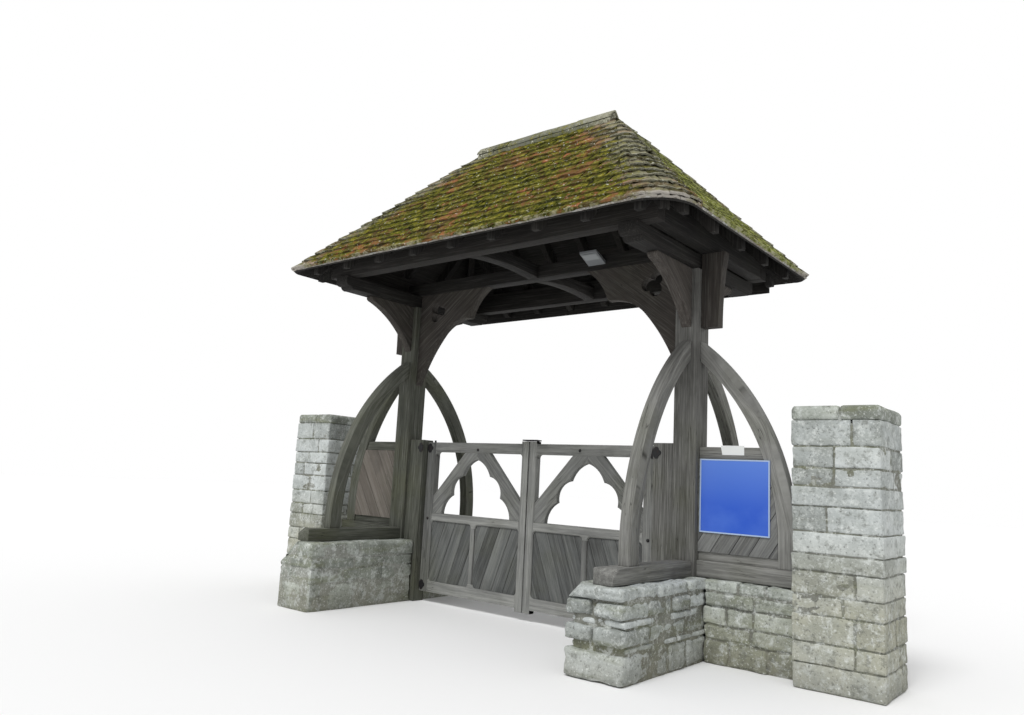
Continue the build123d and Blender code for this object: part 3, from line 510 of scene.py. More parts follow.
def cutAway(bm, point, normal):  # keeps what lies behind the plane, and closes the cut
    geometry = bm.verts[:] + bm.edges[:] + bm.faces[:]
    cut = bmesh.ops.bisect_plane(bm, geom=geometry, plane_co=point, plane_no=normal, clear_outer=True)
    rim = [item for item in cut["geom_cut"] if isinstance(item, bmesh.types.BMEdge) and item.is_boundary]
    if rim:
        bmesh.ops.edgenet_fill(bm, edges=rim)


def softenEdges(bm, width, segments=2, angle=32):
    edges = [e for e in bm.edges if len(e.link_faces) == 2 and e.calc_face_angle(0) > math.radians(angle)]
    if edges:
        bmesh.ops.bevel(
            bm, geom=edges, offset=width, offset_type="OFFSET", segments=segments, profile=0.6,
            affect="EDGES", clamp_overlap=True,
        )


def markStick(bm, verts, placeOf, offset, tone=None):
    grain, shade = bm.verts.layers.float_vector["grain"], bm.verts.layers.float["tone"]
    for vert in verts:
        vert[grain] = placeOf(vert.co) + offset
        vert[shade] = offset.x / grainReach if tone is None else tone


def layGrain(bm, verts, along, offset, tone=None):
    direction = Vector(along).normalized()
    helper = Vector((0, 0, 1)) if abs(direction.z) < 0.9 else Vector((1, 0, 0))
    side = direction.cross(helper).normalized()
    third = direction.cross(side)
    markStick(bm, verts, lambda co: Vector((co.dot(direction), co.dot(side), co.dot(third))), offset, tone)


def longestAxis(verts):
    spans = [max(v.co[i] for v in verts) - min(v.co[i] for v in verts) for i in range(3)]
    axis = Vector((0, 0, 0))
    axis[spans.index(max(spans))] = 1
    return axis


def randomOffset(rng):
    return Vector([rng.uniform(0, grainReach) for _ in range(3)])


def finishOak(nodeName, bm, finish, body="root"):
    slotName = "dark_oak" if finish in ("dark", "bracket") else "weathered_oak"
    linkPiece(meshFrom(bm, nodeName + "_oak"), body, slotName, oak[finish], nodeName)


# Squared timbers: worn arrises, and grain along each stick

timberLook = {
    "arris": 0.005,
    "rottedEnd": {"left": ((-0.25, -0.6, 0.8), 0.018), "right": ((0.3, -0.6, 0.8), 0.030)},  # slope and drop
    "seed": 11,
}
lowerTimbers = ["post", "hanging_post", "cross_sill", "side_sill", "panel_rails"]
upperTimbers = [
    "left_cross_beam", "right_cross_beam", "left_wall_plate", "right_wall_plate", "front_wall_plate",
    "back_wall_plate", "lintel", "middle_cross_beam", "main_rafters", "end_rafters", "hip_rafters",
    "ridge_board",
]
# the left-hand timbers take the painted-shade copy of the oak, the right-hand ones the painted-light copy
sideFinish = {"left": "shaded", "right": "lit"}
timberRandom = random.Random(timberLook["seed"])


def rotEnd(bm, nodeName):  # the top of a sill's front end is rotted off
    low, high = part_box(nodeName)
    slope, drop = timberLook["rottedEnd"][nodeName.split("_")[0]]
    cutAway(bm, ((low.x + high.x) / 2, low.y, high.z - drop), slope)


def dressTimber(nodeName, finish, alongOf=longestAxis):
    bm = solidOf(nodeName)
    if nodeName.endswith("cross_sill"):
        rotEnd(bm, nodeName)
    for island in islandsOf(bm):
        layGrain(bm, island, alongOf(island), randomOffset(timberRandom))
    softenEdges(bm, timberLook["arris"])
    finishOak(nodeName, bm, finish)


for hand in handSigns:
    for kind in lowerTimbers:
        dressTimber(f"{hand}_{kind}", sideFinish[hand])
for nodeName in upperTimbers:
    # the roof timbers take the near-black oak, painted shade
    dressTimber(nodeName, "dark")
print("squared timbers dressed")

# Curved braces: the grain bends with the stick

braceLook = {
    "springShare": {"front": 0.038, "back": 0.103, "side": 0.097},  # share of the rise that is straight
    "arris": 0.006,
}


def bendGrain(bm, verts, flatten, spring, reach, top, face):
    # The brace stands straight to the spring, and then follows an arc to the post's face
    run = reach - face
    radius = (run ** 2 + (top - spring) ** 2) / (2 * run)
    centre = reach - radius

    def placeOf(co):
        out, thickness = flatten(co)
        rise = co.z - spring
        if rise <= 0:
            return Vector((rise, out, thickness))
        turned = math.atan2(rise, out - centre)
        return Vector((turned * radius, centre + math.hypot(rise, out - centre), thickness))

    markStick(bm, verts, placeOf, randomOffset(timberRandom))


def dressBraces(nodeName, hand, endOf, flatten):
    # flatten gives how far a point is out from the post's middle, and its place across the brace
    low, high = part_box(f"{hand}_post")
    bm = solidOf(nodeName)
    for island in islandsOf(bm):
        foot = min(v.co.z for v in island)
        top = max(v.co.z for v in island)
        reach = max(flatten(v.co)[0] for v in island)
        spring = foot + braceLook["springShare"][endOf(island)] * (top - foot)
        bendGrain(bm, island, flatten, spring, reach, top, (high.x - low.x) / 2)
    softenEdges(bm, braceLook["arris"])
    finishOak(nodeName, bm, sideFinish[hand])


def frontOrBack(island):
    return "front" if min(v.co.y for v in island) < 0 else "back"


for hand in handSigns:
    middle = sum(corner.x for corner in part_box(f"{hand}_post")) / 2
    dressBraces(f"{hand}_cross_braces", hand, frontOrBack, lambda co: (abs(co.y), co.x))
    dressBraces(f"{hand}_side_brace", hand, lambda island: "side", lambda co: (abs(co.x - middle), co.y))
print("braces dressed")

# Brackets under the beams

bracketLook = {"rake": 0.75}  # rise over run of the grain


def outwardRake(island):
    return (0, -1 if frontOrBack(island) == "front" else 1, bracketLook["rake"])


for hand, sign in handSigns.items():
    dressTimber(f"{hand}_inner_bracket", "bracket", lambda island: (-sign, 0, bracketLook["rake"]))
    dressTimber(f"{hand}_outer_bracket", "bracket", lambda island: (0, 0, 1))
    dressTimber(f"{hand}_cross_brackets", "bracket", outwardRake)
print("brackets dressed")

# Boards, for the gates and the side panels

boarding = {
    "seam": 0.004,
    "tongue": 0.004,
    "tongueShare": 0.35,  # of the board's thickness
    "tongueArris": 0.0005,
    "arris": 0.0025,
    "uneven": 0.04,  # share by which a board's width may differ
    "firstCut": (0.2, 0.8),  # share of the first board that lies off the panel
    "fewestFaces": 4,
}


def boardsFrom(nodeName, lean, rake, width, rng):
    # Parallel boards across a panel, raked in degrees from level, with dark seams over thin tongues
    source = solidOf(nodeName)
    run = Vector((lean * math.cos(math.radians(rake)), 0, math.sin(math.radians(rake))))
    across = Vector((run.z, 0, -run.x)).normalized()
    reach = [v.co.dot(across) for v in source.verts]
    middle = (min(v.co.y for v in source.verts) + max(v.co.y for v in source.verts)) / 2
    start = min(reach) - rng.uniform(*boarding["firstCut"]) * width
    boards = addLayers(bmesh.new(), "grain", "tone")

    def cutBoard(low, high, share, arris, tone):
        piece = source.copy()
        for vert in piece.verts:
            vert.co.y = middle + (vert.co.y - middle) * share
        cutAway(piece, across * low, -across)
        cutAway(piece, across * high, across)
        if len(piece.faces) >= boarding["fewestFaces"]:
            layGrain(piece, piece.verts, run, randomOffset(rng), tone)
            softenEdges(piece, arris)
            joinInto(boards, piece)
        else:
            piece.free()

    half = boarding["seam"] / 2
    edge = half + boarding["tongue"]
    while start < max(reach):
        stop = start + width * rng.uniform(1 - boarding["uneven"], 1 + boarding["uneven"])
        cutBoard(start + half, stop - half, 1.0, boarding["arris"], None)
        cutBoard(stop - edge, stop + edge, boarding["tongueShare"], boarding["tongueArris"], 0.0)
        start = stop
    source.free()
    return boards


# Gates: each stile, rail and muntin is its own stick, and the lower lights are boarded on the slant

gateLook = {
    "arris": 0.003,
    "meetingStile": 0.078,  # its edge, and the next two, in metres from the middle of the gateway
    "hingeStile": 1.094,
    "muntin": 0.586,
    "topRail": 1.320,  # its edge, and those of the next two, in metres from the ground
    "middleRail": (0.692, 0.794),
    "bottomRail": 0.219,
    "railTone": 0.95,
    "boardWidth": 0.121,
    "boardRake": 70,  # degrees from level
    "seed": 23,
}
gateRandom = random.Random(gateLook["seed"])


def sticksFrom(nodeName, cuts):  # one stick for each set of planes, grain direction and tone
    source = solidOf(nodeName)
    sticks = addLayers(bmesh.new(), "grain", "tone")
    for planes, along, tone in cuts:
        stick = source.copy()
        for point, normal in planes:
            cutAway(stick, point, normal)
        layGrain(stick, stick.verts, along, randomOffset(gateRandom), tone)
        softenEdges(stick, gateLook["arris"])
        joinInto(sticks, stick)
    source.free()
    return sticks


def frameCuts(sign):
    meeting = (sign * gateLook["meetingStile"], 0, 0)
    hinge = (sign * gateLook["hingeStile"], 0, 0)
    inward, outward = (-sign, 0, 0), (sign, 0, 0)
    between = [(meeting, inward), (hinge, outward)]
    up, down = (0, 0, 1), (0, 0, -1)
    top, bottom = (0, 0, gateLook["topRail"]), (0, 0, gateLook["bottomRail"])
    middleLow, middleHigh = ((0, 0, z) for z in gateLook["middleRail"])
    tone = gateLook["railTone"]
    return [
        ([(meeting, outward)], up, None),
        ([(hinge, inward)], up, None),
        (between + [(top, down)], outward, tone),
        (between + [(middleLow, down), (middleHigh, up)], outward, tone),
        (between + [(bottom, up)], outward, tone),
        (between + [(bottom, down), (middleLow, up)], up, None),
    ]


def dressGate(hand, sign):
    gate = f"{hand}_gate"
    finishOak(gate + "_frame", sticksFrom(gate + "_frame", frameCuts(sign)), "gate", gate)
    middle = (sign * gateLook["muntin"], 0, 0)
    halves = [([(middle, (lean, 0, 0))], (lean, 0, 1), None) for lean in (-1, 1)]
    finishOak(gate + "_bracing", sticksFrom(gate + "_bracing", halves), "gate", gate)
    boards = boardsFrom(gate + "_boards", -sign, gateLook["boardRake"], gateLook["boardWidth"], gateRandom)
    finishOak(gate + "_boards", boards, "boards", gate)


for hand, sign in handSigns.items():
    dressGate(hand, sign)
print("gates dressed")

# Side panels, boarded on the slant

panelLook = {"boardWidth": 0.118, "boardRake": 58, "seed": 31}
panelRandom = random.Random(panelLook["seed"])
for hand, sign in handSigns.items():
    nodeName = f"{hand}_panel_boards"
    boards = boardsFrom(nodeName, sign, panelLook["boardRake"], panelLook["boardWidth"], panelRandom)
    finishOak(nodeName, boards, f"{hand}Panel")
print("side panels boarded")

# Masonry: squared, uneven stones bedded nearly flush in lime mortar

masonry = {
    "joint": 0.006,
    "tuck": 0.025,  # how far the wing walls run into the walls beside them
    "stretch": 1.25,  # how much longer than its longest size a stone may come out
    "halves": (0.42, 0.58),  # where the last two stones of a course meet
    "through": 0.25,  # share of stones that run right through the wall
    "thinWall": 0.2,
    "depthShares": (0.4, 0.7),
    "roundMost": 0.6,  # largest share of its half size that a stone's arris takes
    "flatBelow": 0.2,  # a face that leans less than this moves sideways only by the next share
    "flatShare": 0.3,
    "lumps": ((5, 1.2), (17, 0.7), (48, 0.35)),  # waves to a metre, and how much each counts
    "recess": 0.6,  # how far the faces lie back, where a whole lump counts 1
    "mortarWaves": 9,
    "mortarSway": 0.003,
    "stoneCells": 8,
    "coreCells": 16,
    "seed": 41,
}
wallLooks = {  # course heights from the ground up, stone lengths, arris, wall corner, unevenness, setback
    "left_dwarf_wall": {
        "courses": (0.215, 0.115, 0.085, 0.125), "stone": (0.34, 0.72), "round": 0.012, "wear": 0.030,
        "rough": 0.013, "setback": 0.006, "core": 0.011, "mortar": "pale",
    },
    "right_dwarf_wall": {
        "courses": (0.175, 0.035, 0.105, 0.045, 0.10, 0.08), "sunk": (0, 0.038, 0, 0.030, 0.006, 0),
        "stone": (0.20, 0.50), "round": 0.022, "wear": 0.018, "rough": 0.017, "setback": 0.014,
        "core": 0.050, "outerCore": 0.022,
    },
    "wing": {
        "courses": (0.15, 0.10, 0.12, 0.09, 0.08), "stone": (0.16, 0.38), "round": 0.014, "wear": 0.005,
        "rough": 0.012, "setback": 0.014, "core": 0.022,
    },
    "pier": {
        "courses": (0.15, 0.12, 0.16, 0.11, 0.14, 0.10, 0.13, 0.15, 0.12, 0.11, 0.13, 0.16),
        "stone": (0.16, 0.40), "round": 0.008, "wear": 0.014, "rough": 0.008, "setback": 0.010,
        "core": 0.016, "through": 0.55,
    },
    "coping": {
        "courses": (1.0,), "stone": (0.24, 0.36), "round": 0.016, "wear": 0.030, "rough": 0.006,
        "setback": 0.006, "core": 0.020,
    },
}
wornCorners = {  # run along X, depth along Y and drop of the broken corner at each wall's lowest X and Y
    "left_dwarf_wall": (0.225, 0.280, 0.205),
    "right_dwarf_wall": (0.145, 0.220, 0.120),
}


def splitLength(length, sizes, rng):
    pieces = []
    left = length
    while left > sizes[1] * masonry["stretch"]:
        pieces.append(min(rng.uniform(*sizes), left - sizes[0]))
        left -= pieces[-1]
    if left > sizes[1]:
        share = rng.uniform(*masonry["halves"])
        return pieces + [left * share, left * (1 - share)]
    return pieces + [left]


def within(point, low, high, inset=0.0):
    return Vector([min(max(point[i], low[i] + inset), high[i] - inset) for i in range(3)])


def intoRound(point, low, high, radius, keepBottom=False):  # moves a point on a box on to its rounded form
    inner = within(point, low, high, radius)
    if keepBottom and point.z < high.z - radius:
        inner.z = point.z
    offset = point - inner
    if offset.length < 1e-9:
        return point
    return inner + offset * (max(abs(c) for c in offset) / offset.length)


def boxLattice(n):  # surface of a cube from -1 to 1 as even points and outward quads
    index, points, quads = {}, [], []

    def at(axis, side, a, b):
        cell = [a, b]
        cell.insert(axis, side)
        if tuple(cell) not in index:
            index[tuple(cell)] = len(points)
            points.append(Vector(cell) * (2 / n) - Vector((1, 1, 1)))
        return index[tuple(cell)]

    for a in range(n):
        for b in range(n):
            for axis in (2, 1, 0):
                for side in (0, n):
                    turned = (side == n) != (axis == 1)
                    walk = ((0, 0), (1, 0), (1, 1), (0, 1)) if turned else ((0, 0), (0, 1), (1, 1), (1, 0))
                    quads.append([at(axis, side, a + i, b + j) for i, j in walk])
    return points, quads


lattices = {name: boxLattice(masonry[name + "Cells"]) for name in ("stone", "core")}


def addBlock(heap, lattice, placed, tone):
    start = len(heap["points"])
    heap["points"] += placed
    heap["quads"] += [tuple(start + i for i in quad) for quad in lattice[1]]
    heap["tones"] += [tone] * len(placed)


def brokenPlane(nodeName, wall):
    # How far a point stands in front of the broken corner, and a function that moves it behind the break
    if nodeName not in wornCorners:
        return None
    run, depth, drop = wornCorners[nodeName]
    corner = Vector((wall[0].x, wall[0].y, wall[1].z))
    normal = Vector((1 / run, 1 / depth, -1 / drop))

    def shortBy(point):
        return 1 - (point - corner).dot(normal)

    def behind(point):
        return point + normal * (max(shortBy(point), 0) / normal.length_squared)

    return shortBy, behind


def addStone(heap, low, high, look, wall, broken, rng):
    foot = [Vector((x, y, low.z)) for x in (low.x, high.x) for y in (low.y, high.y)]
    if broken and all(broken[0](corner) > 0 for corner in foot):
        return
    half = (high - low) / 2
    middle = (high + low) / 2
    radius = min(look["round"], min(half) * masonry["roundMost"])
    shoulder = 1 - 2 / masonry["stoneCells"]  # the outermost cells are drawn in to the arris
    shift = randomOffset(rng)
    placed = []
    for point in lattices["stone"][0]:
        place = Vector()
        for i in range(3):
            share = abs(point[i])
            near = half[i] - radius
            size = near * share / shoulder
            if share > shoulder:
                size = near + radius * (share - shoulder) / (1 - shoulder)
            place[i] = math.copysign(size, point[i])
        place = intoRound(place + middle, low, high, radius)
        lump = sum(noise.noise(place * waves + shift) * count for waves, count in masonry["lumps"])
        outward = (place - middle).normalized()
        outward = Vector([c if abs(c) > masonry["flatBelow"] else c * masonry["flatShare"] for c in outward])
        place += outward * (lump - masonry["recess"]) * look["rough"]
        place = within(intoRound(place, wall[0], wall[1], look["wear"], True), *wall)
        placed.append(broken[1](place) if broken else place)
    addBlock(heap, lattices["stone"], placed, rng.random())


def layStones(heap, low, high, look, wall, broken, rng):
    longAxis = 0 if high.x - low.x > high.y - low.y else 1
    half = masonry["joint"] / 2
    z = low.z
    for number, share in enumerate(look["courses"]):
        course = share / sum(look["courses"]) * (high.z - low.z)
        sunk = look["sunk"][number] if "sunk" in look else 0
        axis = rng.choice((0, 1)) if look is wallLooks["pier"] else longAxis
        other = 1 - axis
        depth = high[other] - low[other]
        depths = [depth * share for share in masonry["depthShares"]]
        at = low[axis]
        for length in splitLength(high[axis] - low[axis], look["stone"], rng):
            through = rng.random() < look.get("through", masonry["through"])
            whole = through or depth < masonry["thinWall"] or number == 0
            start = low[other]
            for cut in [depth] if whole else splitLength(depth, depths, rng):
                a, b = Vector((0, 0, z)), Vector((0, 0, z + course))
                a[axis], b[axis] = at, at + length
                a[other], b[other] = start, start + cut
                for i in range(3):  # a joint beside the next stone, an uneven setback at the faces
                    back = look["setback"] if i < 2 else 0
                    a[i] += half if a[i] > low[i] + 1e-6 else (sunk if i < 2 else 0) + rng.uniform(0, back)
                    b[i] -= half if b[i] < high[i] - 1e-6 else rng.uniform(0, back)
                addStone(heap, a, b, look, wall, broken, rng)
                start += cut
            at += length
        z += course


def layCore(heap, low, high, look, wall, broken):
    inset = look["core"]
    a = Vector((low.x + inset, low.y + inset, low.z))
    b = Vector((high.x - look.get("outerCore", inset), high.y - inset, high.z - inset))
    drop = Vector((inset, inset, -inset))  # the mortar lies as deep behind the break as elsewhere
    placed = []
    for point in lattices["core"][0]:
        place = (a + b) / 2 + Vector([point[i] * (b[i] - a[i]) / 2 for i in range(3)])
        place = intoRound(place, a, b, look["wear"], True)
        place += Vector((1, 1, 0)) * noise.noise(place * masonry["mortarWaves"]) * masonry["mortarSway"]
        if broken:
            place = broken[1](place - drop) + drop
        placed.append(within(place, *wall))
    addBlock(heap, lattices["core"], placed, 0.5)


def meshFromHeap(heap, name, sharpDegrees):
    mesh = bpy.data.meshes.new(name)
    mesh.from_pydata(heap["points"], [], heap["quads"])
    mesh.attributes.new("tone", "FLOAT", "POINT").data.foreach_set("value", heap["tones"])
    return finishMesh(mesh, sharpDegrees)


def buildWall(nodeName, kind, blocks, wall):
    look = wallLooks[kind]
    rng = random.Random(f"{masonry['seed']}{nodeName}")
    broken = brokenPlane(nodeName, wall)
    stones, core = ({"points": [], "quads": [], "tones": []} for _ in range(2))
    for low, high in blocks:
        layStones(stones, low, high, look, wall, broken, rng)
        layCore(core, low, high, look, wall, broken)
    bedding = mortar[look.get("mortar", "dark")]
    linkPiece(meshFromHeap(stones, nodeName + "_stones", 50), "root", "limestone", limestone[kind], nodeName)
    linkPiece(meshFromHeap(core, nodeName + "_mortar", 60), "root", "limestone", bedding)


def buildDwarfWall(hand, sign):  # the hanging post stands in a notch of the wall
    nodeName = f"{hand}_dwarf_wall"
    low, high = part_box(nodeName)
    postLow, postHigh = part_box(f"{hand}_hanging_post")
    ends = (postHigh.x, high.x) if sign > 0 else (low.x, postLow.x)
    front = (low, Vector((high.x, postLow.y, high.z)))
    beside = (Vector((ends[0], postLow.y, low.z)), Vector((ends[1], postHigh.y, high.z)))
    back = (Vector((low.x, postHigh.y, low.z)), high)
    buildWall(nodeName, nodeName, [front, beside, back], (low, high))


for hand, sign in handSigns.items():
    buildDwarfWall(hand, sign)
    for kind, suffix in (("wing", "wing_wall"), ("pier", "pier"), ("coping", "pier_coping")):
        low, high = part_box(f"{hand}_{suffix}")
        tuck = Vector((masonry["tuck"] if kind == "wing" else 0, 0, 0))
        wall = (low - tuck, high + tuck)
        buildWall(f"{hand}_{suffix}", kind, [wall], wall)
print("masonry laid")

# Roof: courses of plain tiles on boarding, swept round the hips, with a low row of tiles on the ridge

roof = {
    "tileWidth": 0.165,
    "tileGap": 0.004,
    "tileThickness": 0.012,
    "tileCells": (5, 6),  # points across and along a tile
    "camber": 0.018,
    "headLift": 0.014,
    "gauge": 0.1035,
    "nudge": (0.004, 0.009, 0.002),  # how far a tile may lie from its place
    "turn": (0.014, 0.028, 0.055),  # radians
    "lumpSize": 34,  # mm
    "lumpLevel": 0.45,
    "lumpHeight": 0.034,
    "spare": 0.32,  # share of a tile that may reach past the slope before it is cut
    "narrowest": 0.03,
    "least": 0.001,  # nothing is drawn in closer than this to the eaves or the ridge's ends
    "layer": 0.060,
    "layerLip": 0.0005,
    "apexGap": 0.006,
    "boarding": 0.012,
    "boardWidth": 0.150,
    "boardArris": 0.003,
    "boardedTo": 0.999,  # share of the slope's length, and next round the corners
    "cornerBoardedTo": 0.99,
    "mortarRun": (0.005, 0.13),
    "mortarTop": 0.026,
    "smallSweep": 0.090,  # radius of the swept corners at the soffit
    "largeSweep": 0.300,
    "sweepReach": 0.055,  # how far the corner tiles run on to the slopes
    "tuckUnder": 0.038,  # the slopes' tiles end here, under the corner tiles
    "sweptTile": 0.135,
    "seed": 5,
}
tileRows = {  # shift is along the eaves, in tile widths
    "main": {"courses": 16, "length": 0.265, "lift": 0.036, "firstTail": 0.005, "shift": 0.0, "seed": 5},
    "under": {"courses": 1, "length": 0.170, "lift": 0.027, "firstTail": 0.002, "shift": 0.5, "seed": 25},
}


def solvePitch(rise, halfSpan):
    # The soffit edge is set in by the layer's lip, so the pitch is found by a few halvings
    low, high = math.radians(30), math.radians(60)
    for _ in range(40):
        pitch = (low + high) / 2
        reach = halfSpan - roof["layer"] * math.sin(pitch)
        if reach * math.tan(pitch) + roof["layer"] / math.cos(pitch) < rise:
            low = pitch
        else:
            high = pitch
    return pitch


def roofFacts():
    low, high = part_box("front_roof_slope")
    pitch = solvePitch(high.z - low.z, -low.y)
    soffit = -low.y - roof["layer"] * math.sin(pitch)
    return {
        "eaves": low.z,
        "ridgeHalf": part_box("right_roof_slope")[1].x + low.y,
        "cos": math.cos(pitch),
        "sin": math.sin(pitch),
        "soffit": soffit,
        "length": soffit / math.cos(pitch),
    }


slopes = roofFacts()
corners = [(x, y) for x in (-1, 1) for y in (-1, 1)]

# Each slope: its turn round Z, its half length at the ridge, and its corners at +X and -X of its own plane
faces = {
    "front": (0.0, slopes["ridgeHalf"], (1, -1), (-1, -1)),
    "right": (math.pi / 2, 0.0, (1, 1), (1, -1)),
    "back": (math.pi, slopes["ridgeHalf"], (-1, 1), (1, 1)),
    "left": (-math.pi / 2, 0.0, (-1, -1), (-1, 1)),
}


def sweepShare(corner):  # share of the half width that the swept corner takes
    return roof["largeSweep" if corner == (1, -1) else "smallSweep"] / slopes["soffit"]


def halfWidth(v, n):  # distance from the ridge end, v up the slope and n out of it
    return max(slopes["soffit"] - v * slopes["cos"] + n * slopes["sin"], roof["least"])


def inLayer(n):  # tiles stay between the boarding and the top of the layer
    return min(max(n, roof["boarding"]), roof["layer"] - roof["layerLip"])


def slopeMatrix(facing):
    c, s = slopes["cos"], slopes["sin"]
    turn, ridgeHalf = faces[facing][:2]
    reach = slopes["soffit"] + slopes["ridgeHalf"] - ridgeHalf
    foot = Vector((0, -reach, slopes["eaves"]))
    flat = Matrix(((1, 0, 0), (0, c, -s), (0, s, c)))
    return Matrix.Rotation(turn, 4, "Z") @ Matrix.Translation(foot) @ flat.to_4x4()


def slopeHalf(facing, side, v, n, reach):  # where a slope's tiles stop, beside a swept corner
    corner = faces[facing][2 if side > 0 else 3]
    share = sweepShare(corner) + reach / slopes["soffit"]
    return faces[facing][1] + halfWidth(v, n) * (1 - share)


def cornerPoint(corner, s, v, n):
    # s runs from 0 to 1 round a swept corner, from the front or back slope to the end slope
    h = halfWidth(v, n)
    radius = sweepShare(corner) * h
    reach = roof["sweepReach"] * h / slopes["soffit"]
    arc = radius * math.pi / 2
    along = s * (2 * reach + arc) - reach
    if along < 0:
        x, y = h - radius + along, h
    elif along < arc:
        angle = along / radius
        x, y = h - radius + radius * math.sin(angle), h - radius + radius * math.cos(angle)
    else:
        x, y = h, h - radius - (along - arc)
    z = slopes["eaves"] + v * slopes["sin"] + n * slopes["cos"]
    return Vector((corner[0] * (slopes["ridgeHalf"] + x), corner[1] * y, z))


def roundCorner(corner, a):  # a from -1 to 1 goes round the corner without its reaches on to the slopes
    arc = sweepShare(corner) * slopes["soffit"] * math.pi / 2
    return 0.5 + a * (0.5 - roof["sweepReach"] / (2 * roof["sweepReach"] + arc))


tileInputs = {
    "NodeSocketFloat": (
        "Half length at ridge", "Right half at eaves", "Left half at eaves", "Slope length", "Tile width",
        "Tile gap", "Tile length", "Tile thickness", "Camber", "Gauge", "Tilt", "Lift", "Lump height",
    ),
    "NodeSocketVector": ("Nudge", "Turn"),
    "NodeSocketInt": ("Columns", "Courses", "Seed"),
    "NodeSocketMaterial": ("Material",),
}


